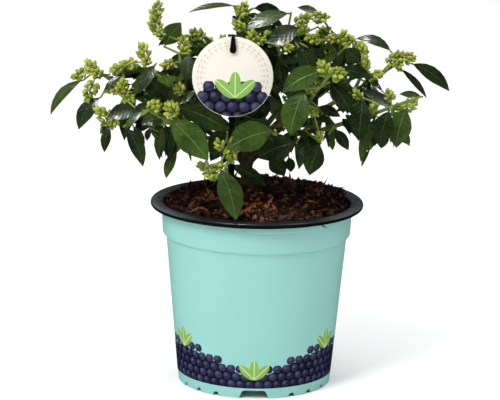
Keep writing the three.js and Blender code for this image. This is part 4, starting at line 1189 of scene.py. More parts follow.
def pierces(lines, flats):
    """Whether any line goes through any triangle."""
    if not len(lines) or not len(flats):
        return False
    start, run = lines[:, 0][:, None], (lines[:, 1] - lines[:, 0])[:, None]
    corner = flats[:, 0][None]
    first = (flats[:, 1] - flats[:, 0])[None]
    second = (flats[:, 2] - flats[:, 0])[None]
    h = np.cross(run, second)
    scale = (first * h).sum(2)
    scale[scale == 0] = 1e-12
    away = start - corner
    u = (away * h).sum(2) / scale
    k = np.cross(away, first)
    v = (run * k).sum(2) / scale
    t = (second * k).sum(2) / scale
    return bool(((u >= 0) & (v >= 0) & (u + v <= 1) & (t >= 0) & (t <= 1)).any())


def limb_lines(own):
    """Lines along the axes and surfaces of the limbs that a mass keeps clear of."""
    lines = []
    for start, end, radius, mass in LIMBS:
        if mass == own:
            continue
        across, over = square_to(unit(end - start))
        offsets = [np.zeros(3)]
        for k in range(4):
            offsets.append(outward(across, over, math.pi / 2 * k) * (radius + GAP))
        lines += [(start + offset, end + offset) for offset in offsets]
    return np.array(lines)


def crosses(leaf, grown):
    """Whether a leaf goes through a limb, or through what has grown in its mass."""
    outer = leaf_points(leaf)[3:]
    for bud in grown.buds:
        if (np.sqrt(((outer - bud.middle) ** 2).sum(1)) < BUD["radius"] * 1.1).any():
            return True
    lines, flats = blade_of(leaf)
    return pierces(grown.lines, flats) or pierces(lines, grown.flats)


def take(leaf, grown):
    """Adds a leaf to what has grown."""
    lines, flats = blade_of(leaf)
    grown.leaves.append(leaf)
    grown.lines = np.concatenate((grown.lines, lines))
    grown.flats = np.concatenate((grown.flats, flats))


def shoot_point(bar, t):
    return bar.start + bar.direction * (bar.length * t)


def bar_points(bar):
    return np.array([shoot_point(bar, t) for t in SHOOT_STATIONS])


def shoots_of(own):
    """The shoots of a mass: one leads on from the stem, and the others fan out from along it."""
    mass = MASSES[NAMES[own]]
    stem = stem_of(own)
    shoots = []
    for j in range(mass.shoots):
        side = 0 if j == 0 else (1 if j % 2 else -1) * math.ceil(j / 2)
        for trial in range(LEAF["tries"]):
            seed = mass.seed + 17 * j + 5 * trial
            start = shoot_point(stem, 1 if j == 0 else draw(seed, 1, 0.55, 0.95))
            sway = trial * 7
            heading = mass.aim[0] + mass.fan * side + draw(seed, 2, -6 - sway, 6 + sway)
            rise = mass.aim[1] if j == 0 else mass.aim[1] * 0.6 + draw(seed, 3, -10 - sway, 24 + sway)
            length = mass.reach * (1 if j == 0 else draw(seed, 4, 0.75, 1.05))
            shoot = Bar(start, toward(heading, rise), length, seed, None)
            if fits(bar_points(shoot), own, TWIG["shoot"]):
                shoots.append(shoot)
                break
    return shoots


def tone_of(seed, young):
    """The tone of a spray's leaves: most are dark, and young ones are fresher."""
    chance = draw(seed, 77, 0, 1) + (TONE_FROM["young"] if young else 0)
    if chance > TONE_FROM["fresh"]:
        return "fresh"
    return "mid" if chance > TONE_FROM["mid"] else "dark"


def leaf_between(proud):
    """A leaf from its root to its tip."""
    root = np.array(proud.root, dtype=float)
    run = np.array(proud.tip) - root
    chord = span(run)
    length = chord * proud.droop / 2 / math.sin(proud.droop / 2)
    rise = math.asin(run[2] / chord) + proud.droop / 2
    heading = math.atan2(run[1], run[0])
    width = length * proud.slim
    return Leaf(root, heading, rise, length, width, proud.droop, proud.roll, LEAF["fold"], proud.tone)


def leaf_facing(near):
    """A leaf from its root to its tip whose blade faces the front, but for a turn."""
    leaf = leaf_between(Proud(near.root, near.tip, near.slim, near.droop, 0, near.tone))
    along = unit(np.array(near.tip) - leaf.root)
    front = np.array((0, -math.cos(VIEW["tilt"]), math.sin(VIEW["tilt"])))
    front = unit(front - along * float(front @ along))
    normal = front * math.cos(near.turn) + np.cross(along, front) * math.sin(near.turn)
    across = np.cross(along, normal)
    flat = np.array((math.sin(leaf.heading), -math.cos(leaf.heading), 0))
    over = np.cross(along, flat)
    return leaf._replace(roll=math.atan2(float(across @ over), float(across @ flat)))


def seen(points):
    """Across, up and depth of points, as seen from in front and a little above."""
    x, y, z = np.atleast_2d(points).T
    z = z - VIEW["height"]
    depth = y * math.cos(VIEW["tilt"]) - z * math.sin(VIEW["tilt"])
    far = 1 + depth / VIEW["distance"]
    across = VIEW["middle"] + (x - VIEW["middle"]) / far
    return across, VIEW["height"] + (z + y * math.tan(VIEW["tilt"])) / far, depth


def in_outline(points):
    """Whether points keep inside the crown's outline and out of its openings."""
    across, up, _ = seen(points)
    inside = (up < np.interp(across, *CROWN_TOP.T)) & (up > np.interp(across, *CROWN_FOOT.T))
    inside &= (across > CROWN_TOP[0, 0]) & (across < CROWN_TOP[-1, 0])
    away = np.hypot(across[:, None] - OPENINGS[:, 0], up[:, None] - OPENINGS[:, 1])
    return bool(inside.all() and (away > OPENINGS[:, 2]).all())


def standing_bars():
    """The leaves and clusters that stand out, as flat bars in the front view, with radii and depths."""
    bars = []
    for near in [*NEAR_LEAVES, *(leaf for leaves in PROUD_LEAVES.values() for leaf in leaves)]:
        across, up, depth = seen(np.array((near.root, near.tip)))
        length = math.hypot(across[1] - across[0], up[1] - up[0])
        bars.append((across[0], up[0], across[1], up[1], length * near.slim * 0.4, depth.mean()))
    for x, y, z, size in CLUSTERS:
        across, up, depth = seen((x, y, z))
        radius = BUD["radius"] * size * 1.3
        bars.append((across[0], up[0] - 2, across[0], up[0] + 2, radius, depth[0]))
    return np.array(bars)


STANDING = standing_bars()


def hides(points):
    """Whether any point is in front of a leaf or cluster that stands out."""
    across, up, depth = seen(points)
    start, run = STANDING[:, 0:2], STANDING[:, 2:4] - STANDING[:, 0:2]
    away = np.stack((across, up), axis=1)[:, None] - start[None]
    share = np.clip((away * run).sum(2) / ((run ** 2).sum(1) + 1e-9), 0.1, 0.95)
    gap = np.sqrt(((away - share[:, :, None] * run) ** 2).sum(2))
    return bool(((gap < STANDING[:, 4]) & (depth[:, None] < STANDING[:, 5] - 1)).any())


def shows_well(points):
    return in_outline(points) and not hides(points)


def twig_between(start, root, over):
    """A twig from a place on a shoot to a leaf's root, and a little over it."""
    run = root - start
    return Bar(start, unit(run), span(run) + over, 0, None)


def grow_standing(own, grown):
    """Adds the further leaves and the clusters that stand out and whose nearest shoot is this mass's."""
    for near, mass, start in NEAR_STARTS:
        if mass != own:
            continue
        leaf = leaf_facing(near)
        take(leaf, grown)
        grown.twigs.append(twig_between(start, leaf.root, 1))
    for (x, y, z, size), mass, start in CLUSTER_STARTS:
        if mass == own:
            centre = np.array((x, y, z), dtype=float)
            way = unit(unit(centre - start) + UP * 0.7)
            middle = centre - way * BUD["radius"] * size * 0.5
            grown.buds.append(Bud(start, middle, way, x * 0.37 + z * 0.11, size))


def nearest_of(places, point):
    """The mass and the place that is nearest to a point."""
    apart = [float((p - point) @ (p - point)) for _, p in places]
    return places[apart.index(min(apart))]


def nearest_shoot(point):
    return nearest_of(SHOOT_POINTS, point)


def cluster_starts():
    """Where each cluster that stands out starts: on the nearest shoot, or on a cluster below it."""
    middles = sorted(CLUSTERS, key=lambda row: abs(nearest_shoot(np.array(row[:3]))[1] - row[:3]).sum())
    places = list(SHOOT_POINTS)
    starts = []
    for row in middles:
        middle = np.array(row[:3], dtype=float)
        mass, start = nearest_of(places, middle)
        starts.append((row, mass, start))
        places.append((mass, middle))
    return starts


def grow_proud_leaves(own, grown):
    """Adds the leaves that stand out of a mass, each on a twig from the nearest shoot."""
    points = [point for bar in (grown.stem, *grown.shoots) for point in bar_points(bar)]
    for proud in PROUD_LEAVES.get(NAMES[own], ()):
        leaf = leaf_between(proud)
        start = min(points, key=lambda p: float((p - leaf.root) @ (p - leaf.root)))
        twig = twig_between(start, leaf.root, TWIG["tip"])
        room = fits(leaf_points(leaf), own) and fits(bar_points(twig), own, TWIG["shoot"])
        if room and not crosses(leaf, grown):
            take(leaf, grown)
            grown.twigs.append(twig)
            grown.lines = np.concatenate((grown.lines, [(twig.start, shoot_point(twig, 1))]))


def grow_buds(shoot, own, grown):
    """Adds the bud clusters of a shoot, on short stalks near its tip."""
    taken = [leaf_points(leaf) for leaf in grown.leaves]
    taken = np.concatenate(taken) if taken else np.full((1, 3), 1e6)
    for i in range(BUD["count"]):
        for trial in range(LEAF["tries"]):
            seed = shoot.seed + 43 * i + 11 * trial + 0.25
            root = shoot_point(shoot, 1 if i == 0 else 0.94 - 0.16 * i)
            way = toward(draw(seed, 1, 0, 360), draw(seed, 2, 20, 80))
            if i == 0:
                way = unit(way + shoot.direction)
            middle = root + way * (BUD["stand"] + BUD["radius"] * 0.7)
            far = middle + way * BUD["radius"] * BUD["stretch"]
            across, over = square_to(way)
            girth = [middle + v * r for v in (across, over) for r in (BUD["radius"], -BUD["radius"])]
            gaps = [((taken - p) ** 2).sum(1).min() for p in (middle, far)]
            room = fits(np.array([middle, far, *girth]), own, BUD["gap"]) and min(gaps) > BUD["radius"] ** 2
            room = room and behind_front(middle) and shows_well(np.array((middle, far)))
            if room and apart_from_buds(middle, grown):
                grown.buds.append(Bud(root, middle, way, seed, 1.0))
                break


def behind_front(middle):
    """Whether a place is in the rear of the crown, where clusters grow by rule alone."""
    return middle[1] > CLUSTER_FRONT


def apart_from_buds(middle, grown):
    """Whether a cluster's middle has room beside the clusters that have grown."""
    return all(((middle - bud.middle) ** 2).sum() > (BUD["radius"] * 2) ** 2 for bud in grown.buds)


def leaf_on(shoot, t, i, trial, tone, scale):
    """The leaf of a shoot at a share of its length, as a trial has it."""
    across, over = square_to(shoot.direction)
    seed = shoot.seed + 31 * i + 7 * trial + 0.5
    sway = 0.14 * trial
    turn = math.radians(GOLDEN_ANGLE * i + 40 * shoot.seed) + draw(seed, 1, -0.3 - sway, 0.3 + sway)
    at_tip = t > 0.9
    forward = 0.8 if at_tip else draw(seed, 2, 0.35, 0.6)
    way = outward(across, over, turn) * math.sqrt(1 - forward ** 2) + shoot.direction * forward
    length = draw(seed, 3, *LEAF["length"]) * (0.86 if at_tip else 1) * (1 - 0.03 * trial) * scale
    return Leaf(
        shoot_point(shoot, t),
        math.atan2(way[1], way[0]) + draw(seed, 4, -sway, sway),
        0.5 * math.asin(way[2]) + draw(seed, 5, -0.15 - sway, 0.3),
        length,
        length * LEAF["slim"] * draw(seed, 6, 0.88, 1.1),
        draw(seed, 7, 0.45, 1.35),
        draw(seed, 8, -0.5, 0.5),
        draw(seed, 9, 0.15, 0.4),
        tone,
    )


def grow_leaves(shoot, own, count, grown, tone, scale=1.0, box=None):
    """Adds a shoot's leaves, spiralling up it; each is tried with other headings until it has room."""
    for i in range(count):
        t = 0.12 + 0.88 * i / (count - 1)
        for trial in range(LEAF["tries"]):
            leaf = leaf_on(shoot, t, i, trial, tone, scale)
            points = leaf_points(leaf)
            if not shows_well(points) or (box is not None and not within(points, box)):
                continue
            if fits(points, own) and not crosses(leaf, grown):
                take(leaf, grown)
                break


SHOOTS = [shoots_of(own) for own in range(len(NAMES))]
SHOOT_POINTS = [
    (own, point)
    for own in range(len(NAMES)) for bar in (stem_of(own), *SHOOTS[own]) for point in bar_points(bar)
    if in_outline(point)]
NEAR_STARTS = [(near, *nearest_shoot(np.array(near.root))) for near in NEAR_LEAVES]
CLUSTER_STARTS = cluster_starts()


def grow(own):
    stem = stem_of(own)
    shoots = SHOOTS[own]
    grown = Growth(stem, shoots)
    axes = np.array([(bar.start, shoot_point(bar, 1)) for bar in (stem, *shoots)])
    grown.lines = np.concatenate((limb_lines(own), axes))
    grow_proud_leaves(own, grown)
    grow_standing(own, grown)
    for shoot in shoots:
        grow_buds(shoot, own, grown)
    for shoot in shoots:
        grow_leaves(shoot, own, LEAF["count"], grown, tone_of(shoot.seed, True))
    grow_leaves(stem, own, math.floor(stem.length / LEAF["spacing"] + 0.5), grown, "dark")
    return grown


FINE = {"length": (9, 18), "scale": 0.72, "leaves": 5, "proud": 2.5, "gap": 2, "tries": 6}
FINE_STATIONS = [0.12 + 0.22 * k for k in range(FINE["leaves"])]
TWIGS_ON_SHOOT = 4
TWIGS_ON_STEM = 6


def within(points, box):
    """Whether points keep within a node's box, in millimetres."""
    low, high = np.array(box[0]) / MM - FINE["proud"], np.array(box[1]) / MM + FINE["proud"]
    return bool(((points > low) & (points < high)).all())


def grow_finer(own, grown):
    """Carries a mass on to finer twigs: short side twigs with smaller leaves and a bud cluster each."""
    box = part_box(f"foliage_{NAMES[own]}")
    bars = [(shoot, TWIGS_ON_SHOOT) for shoot in grown.shoots] + [(grown.stem, TWIGS_ON_STEM)]
    for bar, count in bars:
        for k in range(count):
            for trial in range(FINE["tries"]):
                seed = bar.seed + 59 * k + 13 * trial + 0.85
                start = shoot_point(bar, 0.3 + 0.6 * (k + draw(seed, 1, 0, 0.6)) / count)
                way = unit(toward(draw(seed, 2, 0, 360), draw(seed, 3, -5, 70)) + bar.direction * 0.7)
                twig = Bar(start, way, draw(seed, 4, *FINE["length"]), seed, None)
                if fits(bar_points(twig), own, FINE["gap"]):
                    tone = tone_of(bar.seed, bar is not grown.stem)
                    before = len(grown.buds)
                    grow_leaves(twig, own, FINE["leaves"], grown, tone, FINE["scale"], box)
                    grow_bud_at_tip(twig, own, grown)
                    if len(grown.buds) > before:
                        grown.twigs.append(twig)
                    else:
                        tips = [t for t in FINE_STATIONS if leaf_stands_at(grown, shoot_point(twig, t))]
                        if tips:
                            grown.twigs.append(twig._replace(length=twig.length * max(tips)))
                    break


def leaf_stands_at(grown, point):
    """Whether a leaf's root is at a point."""
    return any(((leaf.root - point) ** 2).sum() < 0.04 for leaf in grown.leaves)


def grow_bud_at_tip(twig, own, grown):
    """Adds a small bud cluster at a twig's tip where it has room."""
    size = draw(twig.seed, 6, 0.6, 0.9)
    root = shoot_point(twig, 1)
    middle = root + twig.direction * BUD["radius"] * size
    far = middle + twig.direction * BUD["radius"] * size
    points = np.array([middle, far])
    room = behind_front(middle) and fits(points, own, BUD["gap"]) and shows_well(points)
    if room and apart_from_buds(middle, grown):
        grown.buds.append(Bud(root, middle, twig.direction, twig.seed, size))


# ---------- Leaves, twigs and buds as meshes ----------

TONES = ("dark", "mid", "fresh")
ROWS = np.array((0.0, 0.045, 0.085, 0.17, 0.3, 0.45, 0.6, 0.74, 0.86, 0.95, 1.0))
LANES = np.array((1.0, 0.52, 0.0, -0.52, -1.0))
BLADE = {"spread": (0.9, 1.14), "point": 0.92, "wave": 0.06, "waves": 2.2, "curl": 0.10, "tip": 0.12}
STALK = {"share": 0.06, "end": 0.07, "half": 0.55}
THICKNESS = {"stalk": 1.0, "blade": 0.42}
STEM_RADII = (TWIG["stem"], 1.75, TWIG["shoot"])
SHOOT_RADII = (TWIG["shoot"], 1.35, TWIG["tip"])
TWIG_RADII = (0.95, 0.75)
SMALL_BUD = {"sides": 6, "rings": ((0.1, 0.45), (0.36, 0.96), (0.64, 0.86), (0.87, 0.42)), "slim": 0.64}
STEM, SHOOT, TWIGLET = range(3)
GREEN, YELLOW, BLUSH = range(3)
BLUSHING = 0.05
CLUSTER = {"per_size": 15, "least": 3, "reach": 2.7, "foot": 0.92, "swell": 0.38, "bud": (4.6, 6.4)}


def leaf_faces():
    """The faces of a leaf: its upper side, its underside and its two ends."""
    rows, lanes = len(ROWS), len(LANES)

    def top(i, j):
        return i * lanes + j

    def under(i, j):
        return top(i, j) if j in (0, lanes - 1) else rows * lanes + i * (lanes - 2) + j - 1

    upper, lower, ends = [], [], []
    for i in range(rows - 1):
        for j in range(lanes - 1):
            upper.append((top(i, j), top(i + 1, j), top(i + 1, j + 1), top(i, j + 1)))
            lower.append((under(i, j), under(i, j + 1), under(i + 1, j + 1), under(i + 1, j)))
    for i in (0, rows - 1):
        loop = [top(i, j) for j in range(lanes)] + [under(i, j) for j in range(lanes - 2, 0, -1)]
        ends.append(tuple(loop if i == 0 else reversed(loop)))
    return upper, lower, ends


UPPER, LOWER, ENDS = leaf_faces()
LEAF_UV = np.array(
    [((1 + lane) / 2, row) for row in ROWS for lane in LANES]
    + [((1 + lane) / 2, row) for row in ROWS for lane in LANES[1:-1]])


def leaf_shape(leaf):
    """A leaf's points: a stalk, then a blade that is folded along its rib and waves a little."""
    t = ROWS
    rib, across, normal, _ = leaf_frame(leaf, t)
    seed = leaf.heading * 7 + leaf.length
    width = leaf.width * draw(seed, 2, *BLADE["spread"])
    on_stalk = t < STALK["end"]
    blade = np.clip((t - STALK["share"]) / 0.94, 0, 1)
    outline = 0.5 * np.sin(np.pi * blade ** 0.94) ** BLADE["point"]
    half = np.maximum(width * outline, np.where(on_stalk, STALK["half"], BLADE["tip"]))
    lane = np.abs(LANES)[None, :]
    turn = 2 * math.pi * (BLADE["waves"] * t + draw(seed, 1, 0, 1))[:, None]
    wave = np.sin(turn + LANES[None, :] * 0.8) * BLADE["wave"] * lane ** 1.5
    curl = -BLADE["curl"] * lane ** 3
    lift = math.sin(leaf.fold) * lane * (0.4 + 0.5 * lane) + wave + curl
    aside = math.cos(leaf.fold) * LANES[None, :]
    reach = aside[..., None] * across[:, None] + lift[..., None] * normal[:, None]
    points = rib[:, None] + half[:, None, None] * reach
    thick = np.where(on_stalk, THICKNESS["stalk"], THICKNESS["blade"])[:, None, None]
    below = points[:, 1:-1] - thick * normal[:, None]
    return np.concatenate((points.reshape(-1, 3), below.reshape(-1, 3)))


def add_leaf(heap, leaf):
    tone = TONES.index(leaf.tone)
    kinds = [tone] * len(UPPER) + [len(TONES)] * (len(LOWER) + len(ENDS))
    heap.add(leaf_shape(leaf), UPPER + LOWER + ENDS, kinds, LEAF_UV)


def small_bud(heap, root, way, length, kind):
    """A bud like a small egg with a point."""
    across, over = square_to(way)
    sides, rings = SMALL_BUD["sides"], SMALL_BUD["rings"]
    girth = length * SMALL_BUD["slim"]
    points = [root]
    for share, wide in rings:
        for k in range(sides):
            out = outward(across, over, 2 * math.pi * k / sides)
            points.append(root + way * length * share + out * girth / 2 * wide)
    points.append(root + way * length)
    faces = []
    for k in range(sides):
        j = (k + 1) % sides
        faces.append((0, 1 + j, 1 + k))
        for ring in range(len(rings) - 1):
            a = 1 + ring * sides
            faces.append((a + k, a + j, a + sides + j, a + sides + k))
        last = 1 + (len(rings) - 1) * sides
        faces.append((last + k, last + j, len(points) - 1))
    heap.add(points, faces, kind)


def add_cluster(buds, twigs, bud):
    """A cluster: a stalk that carries small buds, packed spirally round it."""
    reach = BUD["radius"] * bud.size
    end = bud.middle + bud.way * reach * BUD["stretch"]
    length = span(end - bud.root)
    way = unit(end - bud.root)
    twigs.add(*tube([bud.root - way, end - way * reach * 0.5], [way, way], [0.8, 0.45], 5), TWIGLET)
    across, over = square_to(way)
    count = int(CLUSTER["per_size"] * bud.size + CLUSTER["least"])
    from_share = max(0.12, 1 - CLUSTER["reach"] * reach / length)
    for k in range(count):
        share = from_share + (1 - from_share) * (k + 0.5) / count
        turn = math.radians(GOLDEN_ANGLE * k) + draw(bud.seed, 20, 0, 6)
        swell = math.sin(math.pi * min(1, 0.2 + 0.8 * (k + 0.5) / count))
        out = outward(across, over, turn)
        foot = bud.root + way * length * share * CLUSTER["foot"] + out * reach * CLUSTER["swell"] * swell
        lean = unit(out * (0.35 + 0.65 * swell) + way * (0.35 + 0.9 * share))
        size = draw(bud.seed + k, 21, *CLUSTER["bud"]) * (0.75 + 0.25 * bud.size)
        kind = GREEN if draw(bud.seed + k, 22, 0, 1) < 0.5 else YELLOW
        if draw(bud.seed + k, 23, 0, 1) < BLUSHING:
            kind = BLUSH
        small_bud(buds, foot, lean, size, kind)


def used_share(shoot, grown):
    """The share of a shoot's length that carries a leaf, a cluster or a twig."""
    roots = [leaf.root for leaf in grown.leaves] + [bud.root for bud in grown.buds]
    away = np.array(roots + [twig.start for twig in grown.twigs]) - shoot.start
    along = away @ shoot.direction
    on_it = np.sqrt(((away - along[:, None] * shoot.direction) ** 2).sum(1)) < 0.3
    return min(1.0, max(along[on_it], default=0.0) / shoot.length)


def make_foliage(finishes):
    """All leaves, all twigs and all bud clusters, each as one piece."""
    leaves, twigs, buds = Heap(), Heap(), Heap()
    for own in range(len(NAMES)):
        grown = grow(own)
        grow_finer(own, grown)
        for leaf in grown.leaves:
            add_leaf(leaves, leaf)
        for bud in grown.buds:
            add_cluster(buds, twigs, bud)
        stem = grown.stem
        ways = [stem.lead, stem.direction, stem.direction]
        centres = [shoot_point(stem, t) for t in (0, 0.5, 1)]
        twigs.add(*tube(centres, ways, STEM_RADII, 8), STEM)
        for shoot in grown.shoots:
            reach = used_share(shoot, grown)
            if reach:
                centres = [shoot_point(shoot, t) for t in (0, reach / 2, reach)]
                twigs.add(*tube(centres, [shoot.direction] * 3, SHOOT_RADII, 8), SHOOT)
        for twig in grown.twigs:
            centres = [shoot_point(twig, 0), shoot_point(twig, 1)]
            twigs.add(*tube(centres, [twig.direction] * 2, TWIG_RADII, 6), TWIGLET)
    nodes = [f"foliage_{name}" for name in NAMES]
    for name, heap, sharp in (("leaves", leaves, 50), ("twigs", twigs, 50), ("bud_clusters", buds, 60)):
        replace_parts(heap.piece(name, finishes[name], "foliage", sharp), *nodes)


# ---------- Soil ----------

SOIL_RADIUS = liner_inside(SOIL_EDGE) - GAP
BED = {"rings": 44, "sides": 120, "even": 0.85}
LUMPS = ((15, 3.1, 2.8), (4.6, 7.7, 2.3))
CALM = {"from": 62, "wide": 10, "share": 0.7}
BANK = {"from": 60, "wide": 11, "high": 3.4}
CRUMBS = {"count": 4200, "sizes": (0.7, 1.0, 1.5, 2.1, 2.9), "stretch": (1, 1.3, 1.8, 2.6, 3.6)}
DARK, BARK, FIBRE, FEED_GRAIN = range(4)
FEED = {"count": 230, "middle": (-7, -50), "spread": (9, 11), "size": (1.0, 1.7), "lift": 1.4}
RIM_CRUMBS = {"count": 520, "turn": (22, 96), "size": (0.9, 2.6), "stretch": (1, 1.5, 2.4)}
DUST = {"count": 26, "out": (75, 80), "size": (0.3, 0.8)}

# Small heaps of crumbs: the place of each, its height, and how many crumbs it has.
SMALL_HEAPS = ((5, 64, 10, 60), (46, 52, 8, 80), (62, 34, 6, 60), (-30, 60, 3, 40))


def soil_surface(x, y):
    """The height of the soil's lumpy surface, which is calmer near the rim and rises to it in a bank."""
    out = math.hypot(x, y)
    lumps = sum(noise.noise(Vector((x / size, y / size, layer))) * depth for size, layer, depth in LUMPS)
    edge = 1 - max(0.0, (out - CALM["from"]) / CALM["wide"]) ** 2 * CALM["share"]
    bank = BANK["high"] * min(1.0, max(0.0, (out - BANK["from"]) / BANK["wide"])) ** 2
    return soil_height(out) + lumps * edge + bank


def band(first, sides):
    """Faces between a ring of points and the ring that follows it."""
    faces = []
    for i in range(sides):
        j = (i + 1) % sides
        faces.append((first + i, first + sides + i, first + sides + j, first + j))
    return faces


def soil_bed(finish):
    """The bed: its lumpy surface, then its sides and its underside inside the pot."""
    rings, sides = BED["rings"], BED["sides"]
    points = [np.array((0, 0, soil_surface(0, 0)))]
    for k in range(1, rings + 1):
        out = SOIL_RADIUS * (k / rings) ** BED["even"]
        for i in range(sides):
            x, y, _ = round_point(out, 2 * math.pi * (i + 0.5 * (k % 2)) / sides, 0)
            points.append(np.array((x, y, soil_surface(x, y))))
    faces = [(0, 1 + i, 1 + (i + 1) % sides) for i in range(sides)]
    for k in range(rings - 1):
        faces += band(1 + k * sides, sides)
    wall = (
        (liner_inside(LINER_BOTTOM) - 2 * GAP, LINER_BOTTOM),
        (POT_TOP[0] - POT_WALL - 2 * GAP, POT_TOP[1]),
        (POT_FOOT - POT_WALL - GAP, POT_FLOOR["underside"] + POT_FLOOR["thickness"] + GAP),
    )
    for radius, z in wall:
        faces += band(len(points) - sides, sides)
        for i in range(sides):
            points.append(round_point(radius, 2 * math.pi * (i + 0.5 * (rings % 2)) / sides, z))
    faces.append(tuple(range(len(points) - sides, len(points)))[::-1])
    bed = mesh_piece("soil_bed", points, faces, [finish], sharp=80)
    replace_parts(bed, "soil")


def chip(heap, at, size, stretch, rng, kind):
    """An irregular crumb with eight faces, or a fibre where it is stretched."""
    spin = Matrix.Rotation(rng.uniform(0, 2 * math.pi), 3, "Z") @ Matrix.Rotation(rng.gauss(0, 0.45), 3, "Y")
    corners = []
    for axis in ((1, 0, 0), (0, 1, 0), (-1, 0, 0), (0, -1, 0), (0, 0, 1), (0, 0, -1)):
        corner = Vector(axis) * size * rng.uniform(0.65, 1.25)
        corner += Vector((rng.uniform(-1, 1), rng.uniform(-1, 1), rng.uniform(-1, 1))) * size * 0.22
        corner.x *= stretch
        corner.y /= math.sqrt(stretch)
        corner.z /= math.sqrt(stretch)
        corners.append(np.array(spin @ corner) + at)
    faces = [(0, 1, 4), (1, 2, 4), (2, 3, 4), (3, 0, 4), (1, 0, 5), (2, 1, 5), (3, 2, 5), (0, 3, 5)]
    heap.add(corners, faces, kind)


def lay_crumbs(heap, rng):
    """Crumbs and fibres all over the bed, most of them dark."""
    for _ in range(CRUMBS["count"]):
        out = (SOIL_RADIUS - 2) * math.sqrt(rng.random())
        x, y, _ = round_point(out, rng.uniform(0, 2 * math.pi), 0)
        size = rng.choice(CRUMBS["sizes"]) * rng.uniform(0.8, 1.25)
        kind = rng.choices((DARK, BARK, FIBRE), (6, 2.4, 0.8))[0]
        at = np.array((x, y, soil_surface(x, y) + size * rng.uniform(-0.2, 0.7)))
        chip(heap, at, size, rng.choice(CRUMBS["stretch"]), rng, kind)


def lay_feed(heap, rng):
    """Round grains of plant feed, strewn before the trunk."""
    for _ in range(FEED["count"]):
        x, y = [middle + rng.gauss(0, spread) for middle, spread in zip(FEED["middle"], FEED["spread"])]
        if math.hypot(x, y) < SOIL_RADIUS - 3:
            size = rng.uniform(*FEED["size"])
            at = np.array((x, y, soil_surface(x, y) + size * FEED["lift"]))
            chip(heap, at, size, 1.0, rng, FEED_GRAIN)


def lay_rim_crumbs(heap, rng):
    """Crumbs that are heaped up against the rim, at the back."""
    for _ in range(RIM_CRUMBS["count"]):
        turn = math.radians(rng.uniform(*RIM_CRUMBS["turn"]))
        out = SOIL_RADIUS + rng.uniform(-6, 5)
        size = rng.uniform(*RIM_CRUMBS["size"])
        high = RIM_HEIGHT + rng.uniform(-2.5, 2.5) - abs(out - SOIL_RADIUS) * 0.2
        stretch = rng.choice(RIM_CRUMBS["stretch"])
        kind = rng.choices((DARK, BARK), (5, 2))[0]
        chip(heap, round_point(out, turn, high), size, stretch, rng, kind)


def lay_heaps(heap, rng):
    """Small heaps of crumbs here and there behind the trunk."""
    for middle_x, middle_y, lift, count in SMALL_HEAPS:
        for _ in range(count):
            dx, dy = rng.gauss(0, 4), rng.gauss(0, 4)
            x, y = middle_x + dx, middle_y + dy
            if math.hypot(x, y) < SOIL_RADIUS - 2:
                size = rng.uniform(1.0, 2.4)
                high = lift * math.exp(-(dx * dx + dy * dy) / 30) * rng.random()
                at = np.array((x, y, soil_surface(x, y) + high))
                chip(heap, at, size, rng.choice((1, 1.5, 2.2)), rng, rng.choice((DARK, BARK)))


def lay_dust(heap, rng):
    """Specks of soil on the rim."""
    for _ in range(DUST["count"]):
        turn = rng.uniform(0, 2 * math.pi)
        out = rng.uniform(*DUST["out"])
        size = rng.uniform(*DUST["size"])
        at = round_point(out, turn, RIM_HEIGHT - 0.2 + size * 0.4)
        chip(heap, at, size, 1.3, rng, DARK)


def make_soil(bed_finish, crumb_finishes):
    """The bed of soil, and the crumbs, fibres and feed grains that lie on it."""
    soil_bed(bed_finish)
    rng = random.Random(5)
    crumbs = Heap()
    for lay in (lay_crumbs, lay_feed, lay_rim_crumbs, lay_heaps, lay_dust):
        lay(crumbs, rng)
    piece = crumbs.piece("soil_crumbs", crumb_finishes, "soil", 30)
    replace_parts(piece, "soil")


# ---------- Camera, floor and lights ----------

SENSOR = 36
FRONT = (0, 0, 0.2)
WHITE = (1, 1, 1)
PALE = (0.92, 0.92, 0.92, 1)

# Lights: where each is, what it aims at, its size, its power and colour, and the rays that miss it.
Light = namedtuple("Light", "name at aim size power colour unseen")
LIGHTS = (
    Light("key", (-0.9, -1.2, 1.45), FRONT, (0.6, 0.6), 24, (1, 0.99, 0.97), "glossy"),
    Light("sparkle", (-0.6, -0.9, 2.1), FRONT, (0.4, 0.4), 30, WHITE, "diffuse"),
    Light("panel", (0, 0.8, 3.0), (0, 0.8, 0), (5.6, 5.6), 98, WHITE, "glossy"),
    Light("strip", (0.9, -0.5, 1.5), FRONT, (0.25, 0.9), 5, WHITE, None),
)

# The surround's strength: from where to where along an axis, and from what to what.
SURROUND_RISE = (0.0, 0.8, 0.34, 0.72)
SURROUND_ASIDE = (-1.0, 1.0, 1.15, 0.7)


def place_camera():
    """Looks a little down at the bush from in front, turned by a degree."""
    tilt = VIEW["tilt"]
    aim = Vector((VIEW["middle"], 0, VIEW["height"])) * MM
    back = Vector((0, -math.cos(tilt), math.sin(tilt)))
    data = bpy.data.cameras.new("camera")
    data.sensor_width = SENSOR
    data.lens = SENSOR * VIEW["distance"] / VIEW["width"]
    data.clip_start = 0.1
    data.clip_end = 50
    camera = bpy.data.objects.new("camera", data)
    bpy.context.scene.collection.objects.link(camera)
    camera.location = aim + back * (VIEW["distance"] * MM)
    turn = (-back).to_track_quat("-Z", "Y").to_matrix() @ Matrix.Rotation(VIEW["roll"], 3, "Z")
    camera.rotation_euler = turn.to_euler()
    bpy.context.scene.camera = camera


def area_light(row):
    """Hangs up one light; rays of the kind that misses it don't see it."""
    data = bpy.data.lights.new(row.name, "AREA")
    data.shape = "RECTANGLE"
    data.size, data.size_y = row.size
    data.energy = row.power
    data.color = row.colour
    light = bpy.data.objects.new(row.name, data)
    light.location = row.at
    light.rotation_euler = (Vector(row.aim) - Vector(row.at)).to_track_quat("-Z", "Y").to_euler()
    bpy.context.scene.collection.objects.link(light)
    if row.unseen:
        setattr(light, "visible_" + row.unseen, False)


